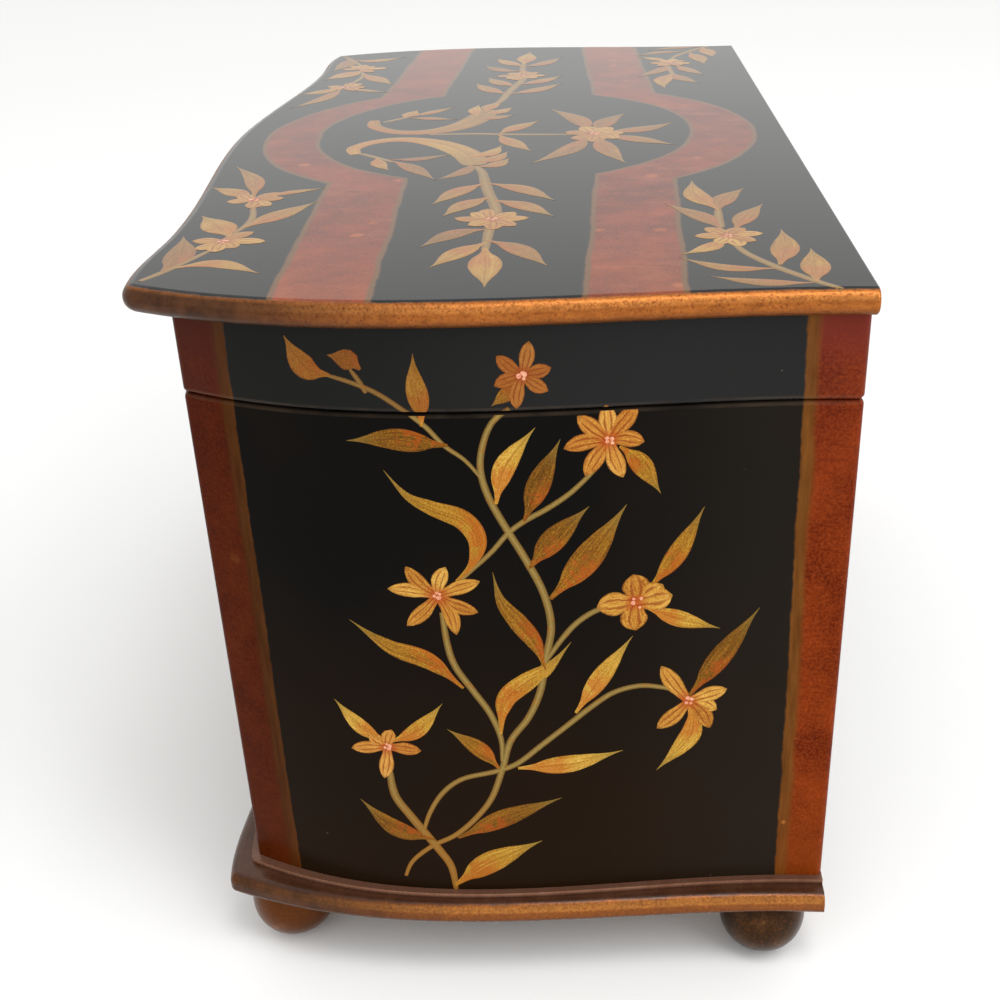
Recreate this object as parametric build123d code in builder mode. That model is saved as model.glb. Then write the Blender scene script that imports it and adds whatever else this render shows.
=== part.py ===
"""Jewelry chest: lift-up lid with a mirror, a lined compartment and three drawers.

Plan: straight back, bowed ends, serpentine front. X runs along the front, -Y is the front,
+Y the back with the hinges, Z is up and the feet stand on Z = 0. Millimetres.
"""
from build123d import *
import os

# Plan of the body
body_half = 197.2
body_depth = 197.1
corner_draw_in = 12.6
end_swell = 21.9
end_waist = 3.9
front_bow = 10.1
front_hollow = 0.6
front_horn = 3.8
hollow_place = 0.73
body_corner_r = 2.5

# Heights of the body
foot_pad_t = 1.2
foot_top_z = 24.5
body_h = 187.0
seam_gap = 0.4
body_top_r = 1.6
bottom_board_t = 9.5
divider_t = 6.0
compartment_h = 46.0
drawer_count = 3

# Walls
end_wall_t = 21.2
front_wall_t = 9.0
back_wall_t = 10.0

# Lid
skirt_h = 25.8
skirt_bottom_r = 1.3
slab_t = 8.0
slab_nose_r = 3.8
slab_corner_r = 6.0
slab_back_r = 0.8
overhang_front = 12.0
overhang_end = 4.2
overhang_back = 0.9

# Base moulding
moulding_out = 8.9
moulding_swell = 16.5
bead_h = 7.6
bead_top_r = 3.4
bead_bottom_r = 2.0
ledge_out = 2.2
ledge_h = 1.9
moulding_corner_r = 3.0

# Feet
foot_r = 15.0
foot_belly_z = 14.0
foot_neck_r = 11.5
foot_base_r = 7.6
foot_base_lean = 1.75
foot_neck_lean = 0.75
foot_pad_r = 6.6
foot_end_inset = 14.6
foot_front_draw = 9.5
foot_front_inset = 19.0
foot_back_inset = 19.0
dowel_r = 4.0
dowel_l = 7.0
dowel_fit = 0.05
dowel_end_gap = 0.5

# Liners and compartment
liner_t = 4.0
liner_lip = 5.0
liner_edge_r = 1.5
liner_clearance = 1.0
lining_t = 1.0
cell_wall_t = 4.0
cell_wall_h = 32.0
ring_bay_w = 112.0
back_cell_w = 74.6
end_cell_l = 108.0

# Ring cushion
cushion_gap = 0.4
cushion_base_h = 7.0
roll_count = 12
roll_side_h = 3.0
roll_crown = 6.0
roll_slot = 0.8

# Lid lining and mirror
lid_lining_t = 2.0
lid_lining_gap = 0.5
mirror_length = 270.0
mirror_width = 134.0
mirror_t = 3.0
mirror_play = 0.3
frame_face = 13.0
frame_t = 5.0
frame_rebate = 3.0
frame_edge_r = 1.2

# Hinges
hinge_inset = 58.0
hinge_l = 40.0
leaf_t = 1.5
leaf_h = 20.0
knuckle_r = 3.0
knuckle_count = 5
knuckle_play = 0.2
leaf_clear = 0.35
pin_r = 1.5
pin_fit = 0.05
pin_head_r = 2.4
pin_head_l = 1.4
screw_r = 1.2
screw_l = 7.0
screw_head_r = 2.4
screw_sink = 0.2
screw_angle = 90
screw_play = 0.06
screw_spread = 13.0
screw_drop = 12.0

# Drawers
drawer_play = 0.5
drawer_lift = 0.3
drawer_reveal = 0.8
drawer_side_t = 6.0
drawer_side_h = 29.0
drawer_bottom_t = 3.0
drawer_rear_gap = 3.0
drawer_edge_r = 0.8

# Knobs
knob_inset = 72.0
knob_flange_r = 5.5
knob_flange_t = 1.6
knob_step = 1.0
knob_neck_r = 2.8
knob_neck_l = 4.0
knob_ball_r = 6.6
knob_tip_r = 2.0
knob_l = 16.5
knob_seat_play = 0.3
knob_stem_r = 2.0
knob_stem_l = 7.0
knob_stem_play = 0.05

# Places worked out from the sizes above
hinge_reach = 2 * knuckle_r
total_depth = body_depth + overhang_front + front_bow + hinge_reach
back_y = total_depth / 2 - hinge_reach
front_y = back_y - body_depth
body_top_z = foot_top_z + body_h
lid_low_z = body_top_z + seam_gap
slab_low_z = lid_low_z + skirt_h
slab_top_z = slab_low_z + slab_t
front_inner_y = front_y + front_wall_t
back_inner_y = back_y - back_wall_t
drawers_low_z = foot_top_z + bottom_board_t
compartment_z = body_top_z - compartment_h
drawers_high_z = compartment_z - divider_t
divider_total = (drawer_count - 1) * divider_t
opening_h = (drawers_high_z - drawers_low_z - divider_total) / drawer_count
corner_x = body_half - corner_draw_in
end_wall_inner = body_half - end_wall_t
hinge_place = end_wall_inner - hinge_inset
knob_place = end_wall_inner - knob_inset
margin = 1.0

os.makedirs("parts", exist_ok=True)


def save(builder, name):
    """Label a finished piece and write it."""
    builder.part.label = name
    export_step(builder.part, f"parts/{name}.step")


def plan_outline(end_x, low_y, high_y, swell):
    """Closed plan shape: straight back, bowed ends, serpentine front."""
    side_x = end_x - corner_draw_in
    hollow_x = side_x * hollow_place
    third = (high_y - low_y) / 3
    horn = (side_x - hollow_x) / 3
    with BuildSketch() as plan:
        with BuildLine():
            Line((-end_x, high_y), (end_x, high_y))
            for side in (1, -1):
                Bezier(
                    (side * side_x, low_y),
                    (side * (end_x + swell), low_y + third),
                    (side * (end_x - end_waist), low_y + 2 * third),
                    (side * end_x, high_y),
                )
                Bezier(
                    (0, low_y - front_bow),
                    (side * hollow_x / 3, low_y - front_bow),
                    (side * hollow_x * 2 / 3, low_y - front_hollow),
                    (side * hollow_x, low_y - front_hollow),
                )
                Bezier(
                    (side * hollow_x, low_y - front_hollow),
                    (side * (hollow_x + horn), low_y - front_hollow),
                    (side * (hollow_x + 2 * horn), low_y - front_horn),
                    (side * side_x, low_y),
                )
        make_face()
    return plan.sketch


def front_proud(x):
    """How far the body's front stands before its corners, between the hollows."""
    t = abs(x) / (corner_x * hollow_place)
    return front_hollow + (front_bow - front_hollow) * (1 - t) ** 2 * (1 + 2 * t)


def corner_edges(builder, end_x, front_only=False):
    """Upright edges at the corners of the plan."""
    uprights = builder.edges().filter_by(Axis.Z)
    corners = uprights.filter_by(lambda e: abs(e.center().X) > end_x - corner_draw_in - margin)
    if front_only:
        return corners.filter_by(lambda e: e.center().Y < 0)
    return corners


def solid_block(outline, low_z, high_z):
    """An upright block on a plan outline."""
    with BuildPart() as block:
        with BuildSketch(Plane.XY.offset(low_z)):
            add(outline)
        extrude(amount=high_z - low_z)
    return block


def box_between(low, high, mode=Mode.ADD):
    """A box from its low corner to its high corner."""
    size = [b - a for a, b in zip(low, high)]
    with Locations(tuple(low)):
        return Box(*size, align=(Align.MIN, Align.MIN, Align.MIN), mode=mode)


# Body block, from which the outer panels are cut
body_outline = plan_outline(body_half, front_y, back_y, end_swell)
body_block = solid_block(body_outline, foot_top_z, body_top_z)
with body_block:
    fillet(corner_edges(body_block, body_half), body_corner_r)
    fillet(body_block.edges().group_by(Axis.Z)[-1], body_top_r)
reach_x = 2 * body_half
reach_y = 2 * body_depth


def cut_from(block, low, high):
    """The share of a block that lies in a box."""
    with BuildPart() as piece:
        add(block.part)
        box_between(low, high, mode=Mode.INTERSECT)
    return piece


def bore(radius, depth, deep=Align.MIN):
    """A round hole from the current place, into the piece that is being made."""
    Cylinder(radius, depth, align=(Align.CENTER, Align.CENTER, deep), mode=Mode.SUBTRACT)


# Feet, with their dowels and pads
foot_back_x = body_half + moulding_out - foot_end_inset
foot_front_x = foot_back_x - foot_front_draw
foot_front_y = front_y - moulding_out + foot_front_inset
foot_back_y = back_y - foot_back_inset
foot_places = {
    "front_left": (-foot_front_x, foot_front_y),
    "front_right": (foot_front_x, foot_front_y),
    "back_left": (-foot_back_x, foot_back_y),
    "back_right": (foot_back_x, foot_back_y),
}
for place, (x, y) in foot_places.items():
    with BuildPart() as foot:
        with BuildSketch(Plane(origin=(x, y, 0), x_dir=(1, 0, 0), z_dir=(0, -1, 0))):
            with BuildLine():
                Polyline((foot_neck_r, foot_top_z), (0, foot_top_z), (0, foot_pad_t), (foot_base_r, foot_pad_t))
                Spline(
                    (foot_base_r, foot_pad_t),
                    (foot_r, foot_belly_z),
                    (foot_neck_r, foot_top_z),
                    tangents=[(foot_base_lean, 1), (0, 1), (-foot_neck_lean, 1)],
                )
            make_face()
        revolve(axis=Axis((x, y, 0), (0, 0, 1)))
        with Locations((x, y, foot_top_z)):
            Cylinder(dowel_r, dowel_l, align=(Align.CENTER, Align.CENTER, Align.MIN))
    save(foot, f"foot_{place}")

with BuildPart() as foot_pads:
    with BuildSketch():
        with Locations(*foot_places.values()):
            Circle(foot_pad_r)
    extrude(amount=foot_pad_t)
save(foot_pads, "foot_pads")

# End panels, bored for the dowels
for name, side in (("left", -1), ("right", 1)):
    reach = sorted((side * end_wall_inner, side * reach_x))
    end_panel = cut_from(body_block, (reach[0], -reach_y, 0), (reach[1], reach_y, slab_top_z))
    with end_panel:
        with Locations(*[(x, y, foot_top_z) for x, y in foot_places.values()]):
            bore(dowel_r + dowel_fit, dowel_l + dowel_end_gap)
    save(end_panel, f"end_panel_{name}")

# Boards between the end panels
boards = {
    "bottom_board": (foot_top_z, drawers_low_z),
    "compartment_floor": (drawers_high_z, compartment_z),
}
for i in range(1, drawer_count):
    divider_z = drawers_low_z + i * opening_h + (i - 1) * divider_t
    boards[f"divider_{i}"] = (divider_z, divider_z + divider_t)
for name, (low_z, high_z) in boards.items():
    board = cut_from(body_block, (-end_wall_inner, -reach_y, low_z), (end_wall_inner, back_inner_y, high_z))
    save(board, name)

compartment_front = cut_from(
    body_block,
    (-end_wall_inner, -reach_y, compartment_z),
    (end_wall_inner, front_inner_y, slab_top_z),
)
save(compartment_front, "compartment_front")

# Hinge axis and screws
axis_y = back_y + knuckle_r
axis_z = body_top_z + seam_gap / 2
screw_xs = [
    side * hinge_place + step * screw_spread
    for side in (-1, 1)
    for step in (-1, 0, 1)
]
body_screws = [(x, back_y, axis_z - screw_drop) for x in screw_xs]
lid_screws = [(x, back_y, axis_z + screw_drop) for x in screw_xs]


def bore_pilots(builder, places):
    """Pilot holes for the hinge screws in a panel."""
    with builder:
        for place in places:
            with Locations(Plane(origin=place, x_dir=(1, 0, 0), z_dir=(0, -1, 0))):
                bore(screw_r + screw_play, screw_l + screw_play)


back_panel = cut_from(
    body_block,
    (-end_wall_inner, back_inner_y, 0),
    (end_wall_inner, reach_y, slab_top_z),
)
bore_pilots(back_panel, body_screws)
save(back_panel, "back_panel")

# Base moulding: a bead with a cove and a ledge, mitred at the front corners
bead_top_z = foot_top_z + bead_h
ledge_top_z = bead_top_z + ledge_h
bead_outline = plan_outline(body_half + moulding_out, front_y - moulding_out, back_y, moulding_swell)
ledge_outline = plan_outline(body_half + ledge_out, front_y - ledge_out, back_y, end_swell)
bead = solid_block(bead_outline, foot_top_z, bead_top_z)
with bead:
    fillet(corner_edges(bead, body_half + moulding_out, front_only=True), moulding_corner_r)
    top_edges = bead.edges().group_by(Axis.Z)[-1].filter_by(lambda e: e.center().Y < back_y - margin)
    fillet(top_edges, bead_top_r)
    low_edges = bead.edges().group_by(Axis.Z)[0].filter_by(lambda e: e.center().Y < back_y - margin)
    fillet(low_edges, bead_bottom_r)
ledge = solid_block(ledge_outline, bead_top_z, ledge_top_z)
with ledge:
    fillet(corner_edges(ledge, body_half + ledge_out, front_only=True), moulding_corner_r)
with BuildPart() as moulding:
    add(bead.part)
    add(ledge.part)
    add(body_block.part, mode=Mode.SUBTRACT)

moulding_x = corner_x + moulding_out
moulding_y = front_y - moulding_out
mitres = [Plane(origin=(s * moulding_x, moulding_y, 0), z_dir=(s, 1, 0)) for s in (-1, 1)]
for name, mitre in zip(("left", "right"), mitres):
    with BuildPart() as moulding_end:
        add(moulding.part)
        split(bisect_by=mitre, keep=Keep.TOP)
    save(moulding_end, f"base_moulding_{name}")
with BuildPart() as moulding_front:
    add(moulding.part)
    for mitre in mitres:
        split(bisect_by=mitre, keep=Keep.BOTTOM)
save(moulding_front, "base_moulding_front")

# Liners that stand up into the lid
liner_top_z = body_top_z + liner_lip
liner_x = end_wall_inner - liner_t
liner_low_y = front_inner_y + liner_t
liner_high_y = back_inner_y - liner_t
liners = {
    "front": ((-end_wall_inner, front_inner_y), (end_wall_inner, liner_low_y)),
    "back": ((-end_wall_inner, liner_high_y), (end_wall_inner, back_inner_y)),
    "left": ((-end_wall_inner, liner_low_y), (-liner_x, liner_high_y)),
    "right": ((liner_x, liner_low_y), (end_wall_inner, liner_high_y)),
}
for name, (low, high) in liners.items():
    with BuildPart() as liner:
        box_between((*low, compartment_z), (*high, liner_top_z))
        long_axis = Axis.X if name in ("front", "back") else Axis.Y
        fillet(liner.edges().group_by(Axis.Z)[-1].filter_by(long_axis), liner_edge_r)
    save(liner, f"liner_{name}")

# Compartment lining, cell walls and ring cushion
lining_z = compartment_z + lining_t
with BuildPart() as compartment_lining:
    box_between((-liner_x, liner_low_y, compartment_z), (liner_x, liner_high_y, lining_z))
save(compartment_lining, "compartment_lining")

bay_x = -liner_x + ring_bay_w
cells_x = bay_x + cell_wall_t
cell_top_z = lining_z + cell_wall_h
cell_split_x = liner_x - end_cell_l - cell_wall_t
cell_split_y = liner_high_y - back_cell_w - cell_wall_t
with BuildPart() as cell_wall_ring_bay:
    box_between((bay_x, liner_low_y, lining_z), (cells_x, liner_high_y, cell_top_z))
save(cell_wall_ring_bay, "cell_wall_ring_bay")
with BuildPart() as cell_wall_long:
    box_between((cells_x, cell_split_y, lining_z), (liner_x, cell_split_y + cell_wall_t, cell_top_z))
save(cell_wall_long, "cell_wall_long")
with BuildPart() as cell_walls_cross:
    box_between((cell_split_x, liner_low_y, lining_z), (cell_split_x + cell_wall_t, cell_split_y, cell_top_z))
    box_between(
        (cell_split_x, cell_split_y + cell_wall_t, lining_z),
        (cell_split_x + cell_wall_t, liner_high_y, cell_top_z),
    )
save(cell_walls_cross, "cell_walls_cross")

cushion_low_y = liner_low_y + cushion_gap
cushion_high_y = liner_high_y - cushion_gap
cushion_z = lining_z + cushion_gap
roll_pitch = (cushion_high_y - cushion_low_y + roll_slot) / roll_count
roll_low_z = cushion_z + cushion_base_h
roll_side_z = roll_low_z + roll_side_h
with BuildPart() as ring_cushion:
    with BuildSketch(Plane.YZ.offset(-liner_x + cushion_gap)):
        with BuildLine():
            Polyline(
                (cushion_low_y, roll_side_z),
                (cushion_low_y, cushion_z),
                (cushion_high_y, cushion_z),
                (cushion_high_y, roll_side_z),
            )
            for i in range(roll_count):
                low = cushion_low_y + i * roll_pitch
                high = low + roll_pitch - roll_slot
                middle = (low + high) / 2
                ThreePointArc((low, roll_side_z), (middle, roll_side_z + roll_crown), (high, roll_side_z))
                if i < roll_count - 1:
                    Polyline(
                        (high, roll_side_z),
                        (high, roll_low_z),
                        (high + roll_slot, roll_low_z),
                        (high + roll_slot, roll_side_z),
                    )
        make_face()
    extrude(amount=ring_bay_w - 2 * cushion_gap)
save(ring_cushion, "ring_cushion")

# Lid slab with its rounded rim
slab_outline = plan_outline(
    body_half + overhang_end,
    front_y - overhang_front,
    back_y + overhang_back,
    end_swell,
)
lid_slab = solid_block(slab_outline, slab_low_z, slab_top_z)
with lid_slab:
    fillet(corner_edges(lid_slab, body_half + overhang_end, front_only=True), slab_corner_r)
    for level in (-1, 0):
        nosed = lid_slab.edges().group_by(Axis.Z)[level].filter_by(lambda e: e.center().Y < back_y)
        fillet(nosed, slab_nose_r)
    fillet(lid_slab.faces().sort_by(Axis.Y)[-1].edges(), slab_back_r)
save(lid_slab, "lid_slab")

# Lid skirt, in four boards that follow the body
skirt_block = solid_block(body_outline, lid_low_z, slab_low_z)
with skirt_block:
    fillet(corner_edges(skirt_block, body_half), body_corner_r)
    fillet(skirt_block.edges().group_by(Axis.Z)[0], skirt_bottom_r)
skirt_x = end_wall_inner + liner_clearance
skirt_front_y = front_inner_y - liner_clearance
skirt_back_y = back_inner_y + liner_clearance
lid_skirt_front = cut_from(skirt_block, (-skirt_x, -reach_y, 0), (skirt_x, skirt_front_y, slab_top_z))
save(lid_skirt_front, "lid_skirt_front")
lid_skirt_back = cut_from(skirt_block, (-skirt_x, skirt_back_y, 0), (skirt_x, reach_y, slab_top_z))
bore_pilots(lid_skirt_back, lid_screws)
save(lid_skirt_back, "lid_skirt_back")
lid_skirt_left = cut_from(skirt_block, (-reach_x, -reach_y, 0), (-skirt_x, reach_y, slab_top_z))
save(lid_skirt_left, "lid_skirt_left")
lid_skirt_right = cut_from(skirt_block, (skirt_x, -reach_y, 0), (reach_x, reach_y, slab_top_z))
save(lid_skirt_right, "lid_skirt_right")

# Lid lining, mirror and its frame
lid_lining_z = slab_low_z - lid_lining_t
with BuildPart() as lid_lining:
    box_between(
        (-skirt_x + lid_lining_gap, skirt_front_y + lid_lining_gap, lid_lining_z),
        (skirt_x - lid_lining_gap, skirt_back_y - lid_lining_gap, slab_low_z),
    )
save(lid_lining, "lid_lining")

mirror_y = (skirt_front_y + skirt_back_y) / 2
with BuildPart() as mirror:
    with BuildSketch(Plane.XY.offset(lid_lining_z - mirror_t)):
        with Locations((0, mirror_y)):
            Rectangle(mirror_length, mirror_width)
    extrude(amount=mirror_t)
save(mirror, "mirror")

frame_out = 2 * (frame_face - frame_rebate)
pocket_h = mirror_t + mirror_play
with BuildPart() as mirror_frame:
    with BuildSketch(Plane.XY.offset(lid_lining_z - frame_t)):
        with Locations((0, mirror_y)):
            Rectangle(mirror_length + frame_out, mirror_width + frame_out)
            Rectangle(mirror_length - 2 * frame_rebate, mirror_width - 2 * frame_rebate, mode=Mode.SUBTRACT)
    extrude(amount=frame_t)
    fillet(mirror_frame.edges().group_by(Axis.Z)[0], frame_edge_r)
    with BuildSketch(Plane.XY.offset(lid_lining_z - pocket_h)):
        with Locations((0, mirror_y)):
            Rectangle(mirror_length + 2 * mirror_play, mirror_width + 2 * mirror_play)
    extrude(amount=pocket_h, mode=Mode.SUBTRACT)
save(mirror_frame, "mirror_frame")

# Hinges: interleaved knuckles on a common pin
knuckle_pitch = hinge_l / knuckle_count


def hinge_leaf(hinge_x, up, own):
    """A leaf with every other knuckle; up is 1 on the lid and -1 on the body."""
    low_x = hinge_x - hinge_l / 2
    plate_z = sorted((axis_z, axis_z + up * leaf_h))
    notch_z = sorted((axis_z, axis_z + up * (knuckle_r + leaf_clear)))
    with BuildPart() as leaf:
        box_between((low_x, back_y, plate_z[0]), (low_x + hinge_l, back_y + leaf_t, plate_z[1]))
        for i in range(knuckle_count):
            start = low_x + i * knuckle_pitch
            if i in own:
                with BuildSketch(Plane.YZ.offset(start + knuckle_play / 2)):
                    with Locations((axis_y, axis_z)):
                        Circle(knuckle_r)
                extrude(amount=knuckle_pitch - knuckle_play)
            else:
                box_between(
                    (start - knuckle_play / 2, back_y, notch_z[0]),
                    (start + knuckle_pitch + knuckle_play / 2, back_y + leaf_t, notch_z[1]),
                    mode=Mode.SUBTRACT,
                )
        with BuildSketch(Plane.YZ.offset(low_x)):
            with Locations((axis_y, axis_z)):
                Circle(pin_r + pin_fit)
        extrude(amount=hinge_l, mode=Mode.SUBTRACT)
        for step in (-1, 0, 1):
            place = (hinge_x + step * screw_spread, back_y + leaf_t, axis_z + up * screw_drop)
            with Locations(Plane(origin=place, x_dir=(1, 0, 0), z_dir=(0, 1, 0))):
                CounterSinkHole(
                    screw_r + screw_play,
                    screw_head_r + screw_play + screw_sink,
                    depth=leaf_t,
                    counter_sink_angle=screw_angle,
                )
    return leaf


body_knuckles = range(0, knuckle_count, 2)
lid_knuckles = range(1, knuckle_count, 2)
for name, side in (("left", -1), ("right", 1)):
    save(hinge_leaf(side * hinge_place, -1, body_knuckles), f"hinge_{name}_body_leaf")
    save(hinge_leaf(side * hinge_place, 1, lid_knuckles), f"hinge_{name}_lid_leaf")

with BuildPart() as hinge_pins:
    for side in (-1, 1):
        for start, length, radius in (
            (-hinge_l / 2 - pin_head_l, pin_head_l, pin_head_r),
            (-hinge_l / 2, hinge_l, pin_r),
            (hinge_l / 2, pin_head_l, pin_head_r),
        ):
            with BuildSketch(Plane.YZ.offset(side * hinge_place + start)):
                with Locations((axis_y, axis_z)):
                    Circle(radius)
            extrude(amount=length)
save(hinge_pins, "hinge_pins")


def screw_set(places):
    """Countersunk screws driven from the back."""
    with BuildPart() as screws:
        for x, y, z in places:
            with BuildSketch(Plane(origin=(x, y, z))):
                with BuildLine():
                    Polyline(
                        (0, leaf_t - screw_sink),
                        (screw_head_r, leaf_t - screw_sink),
                        (screw_r, leaf_t - screw_sink - screw_head_r + screw_r),
                        (screw_r, -screw_l),
                        (0, -screw_l),
                        close=True,
                    )
                make_face()
            revolve(axis=Axis((x, y, z), (0, 1, 0)))
    return screws


save(screw_set(body_screws), "hinge_body_screws")
save(screw_set(lid_screws), "hinge_lid_screws")

# Drawers
drawer_x = end_wall_inner - drawer_play
drawer_rear_y = back_inner_y - drawer_rear_gap
knob_seat_y = front_y - front_proud(knob_place + knob_flange_r)
for i in range(drawer_count):
    name = f"drawer_{i + 1}"
    opening_z = drawers_low_z + i * (opening_h + divider_t)
    low_z = opening_z + drawer_lift
    inner_x = drawer_x - drawer_side_t
    knob_z = opening_z + opening_h / 2
    drawer_front = cut_from(
        body_block,
        (-end_wall_inner + drawer_reveal, -reach_y, opening_z + drawer_reveal),
        (end_wall_inner - drawer_reveal, front_inner_y, opening_z + opening_h - drawer_reveal),
    )
    with drawer_front:
        rims = drawer_front.edges().group_by(Axis.Z)
        fillet(
            (rims[0] + rims[-1]).filter_by(lambda e: e.center().Y < front_y),
            drawer_edge_r,
        )
        for side in (-1, 1):
            seat = Plane(origin=(side * knob_place, knob_seat_y, knob_z), x_dir=(1, 0, 0), z_dir=(0, -1, 0))
            with Locations(seat):
                bore(knob_flange_r + knob_seat_play, front_bow)
                bore(knob_stem_r + knob_stem_play, knob_stem_l + knob_stem_play, deep=Align.MAX)
    save(drawer_front, f"{name}_front")

    for side_name, side in (("left", -1), ("right", 1)):
        reach = sorted((side * inner_x, side * drawer_x))
        with BuildPart() as drawer_side:
            box_between((reach[0], front_inner_y, low_z), (reach[1], drawer_rear_y, low_z + drawer_side_h))
        save(drawer_side, f"{name}_side_{side_name}")

    rear_y = drawer_rear_y - drawer_side_t
    with BuildPart() as drawer_back:
        box_between((-inner_x, rear_y, low_z), (inner_x, drawer_rear_y, low_z + drawer_side_h))
    save(drawer_back, f"{name}_back")
    with BuildPart() as drawer_bottom:
        box_between((-inner_x, front_inner_y, low_z), (inner_x, rear_y, low_z + drawer_bottom_t))
    save(drawer_bottom, f"{name}_bottom")

    with BuildPart() as knobs:
        for side in (-1, 1):
            seat = (side * knob_place, knob_seat_y, knob_z)
            neck_end = knob_flange_t + knob_neck_l
            ball_side = (knob_ball_r, (neck_end + knob_l) / 2)
            with BuildSketch(Plane(origin=seat, x_dir=(1, 0, 0), z_dir=(0, 0, -1))):
                with BuildLine():
                    Polyline(
                        (0, knob_l),
                        (0, -knob_stem_l),
                        (knob_stem_r, -knob_stem_l),
                        (knob_stem_r, 0),
                        (knob_flange_r, 0),
                        (knob_flange_r, knob_flange_t),
                        (knob_neck_r, knob_flange_t + knob_step),
                        (knob_neck_r, neck_end),
                    )
                    ThreePointArc((knob_neck_r, neck_end), ball_side, (knob_tip_r, knob_l))
                    Line((knob_tip_r, knob_l), (0, knob_l))
                make_face()
            revolve(axis=Axis(seat, (0, -1, 0)))
    save(knobs, f"{name}_knobs")
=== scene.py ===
"""Lacquers, paints and fits out the jewelry chest round its CAD frame."""

import math
import random
from contextlib import contextmanager

import bmesh
import bpy
import numpy as np
from bpy.props import FloatProperty, FloatVectorProperty, IntProperty, PointerProperty
from mathutils import Matrix, Vector


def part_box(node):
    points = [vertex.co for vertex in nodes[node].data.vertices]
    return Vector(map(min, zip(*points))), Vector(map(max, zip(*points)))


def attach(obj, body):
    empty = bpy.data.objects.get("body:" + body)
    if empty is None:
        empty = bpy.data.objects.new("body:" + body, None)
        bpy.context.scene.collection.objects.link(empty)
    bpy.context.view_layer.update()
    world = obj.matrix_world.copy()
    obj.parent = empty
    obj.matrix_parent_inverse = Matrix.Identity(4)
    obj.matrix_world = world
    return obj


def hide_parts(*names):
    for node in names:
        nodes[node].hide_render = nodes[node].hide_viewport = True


bl_info = {
    "name": "Painted Jewelry Chest",
    "version": (1, 0, 0),
    "blender": (4, 5, 0),
    "location": "View3D > Sidebar > Chest",
    "description": "Lacquers, paints and fits out a jewelry chest round its CAD frame",
    "category": "Object",
}

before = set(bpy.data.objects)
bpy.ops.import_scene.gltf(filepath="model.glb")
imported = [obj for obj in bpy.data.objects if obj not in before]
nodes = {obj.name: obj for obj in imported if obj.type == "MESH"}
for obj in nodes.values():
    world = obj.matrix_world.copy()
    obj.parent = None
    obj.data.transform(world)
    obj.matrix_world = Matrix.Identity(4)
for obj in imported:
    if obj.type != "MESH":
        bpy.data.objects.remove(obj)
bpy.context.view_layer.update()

MM = 0.001
# Heights, and the mirror's middle from front to back, in millimetres.
SEAM, CASE_PAINT_TOP, SKIRT_PAINT_FOOT, SKIRT_TOP = 211.7, 211.0, 212.4, 240
MIRROR_MIDDLE = 7.55
STEM, LEAF, PETAL, HORN = 0.0, 1.0, 2.0, 3.0
DRAWERS = (1, 2, 3)

WARM_BLACK = (35, 21, 8)
DEEP_RED = (88, 26, 5)
PURPLE_RED = (108, 40, 30)
RED_SPOT = (182, 98, 44)
GOLD = (214, 134, 60)
BROWN = (56, 28, 11)


def linear(colour):
    """A paint colour, mixed as it looks on a screen from 0 to 255, as a linear colour."""
    shares = (part / 255 for part in colour)
    return *(s / 12.92 if s <= 0.04045 else ((s + 0.055) / 1.055) ** 2.4 for s in shares), 1.0


def pair_of(operation):
    """A Math node as a Python operator, for a wire on its left and for one on its right."""
    return (
        lambda wire, other: wire.maths(operation, wire, other),
        lambda wire, other: wire.maths(operation, other, wire),
    )


class Wire:
    """What comes out of a node. It adds, subtracts, multiplies and divides as a number does."""

    __add__, __radd__ = pair_of("ADD")
    __sub__, __rsub__ = pair_of("SUBTRACT")
    __mul__, __rmul__ = pair_of("MULTIPLY")
    __truediv__, __rtruediv__ = pair_of("DIVIDE")
    __pow__, __rpow__ = pair_of("POWER")
    at_least = pair_of("MAXIMUM")[0]
    at_most = pair_of("MINIMUM")[0]
    over = pair_of("GREATER_THAN")[0]

    def __init__(self, bench, maker, socket):
        self.bench, self.maker, self.socket = bench, maker, socket

    def out(self, name):
        return Wire(self.bench, self.maker, find_socket(self.maker.outputs, name))

    def maths(self, operation, *values):
        return self.bench.node("ShaderNodeMath", {"operation": operation}, *values)

    def __neg__(self):
        return 0.0 - self

    def __abs__(self):
        return self.maths("ABSOLUTE", self)

    def rise(self, low, high):
        """0 below low, 1 above high, and smooth between them."""
        smooth = {"interpolation_type": "SMOOTHSTEP"}
        return self.bench.node("ShaderNodeMapRange", smooth, Value=self, From_Min=low, From_Max=high)

    def line(self, middle, half_width):
        """1 on a line at the middle value, fading out at half the width from it."""
        return 1 - abs(self - middle).rise(half_width * 0.5, half_width * 1.5)


def find_socket(sockets, name):
    """A node's socket by its place or name, among those that its settings leave in use."""
    if isinstance(name, int):
        return sockets[name]
    return next(s for s in sockets if s.enabled and name.replace("_", " ") in (s.name, s.identifier))


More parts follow.
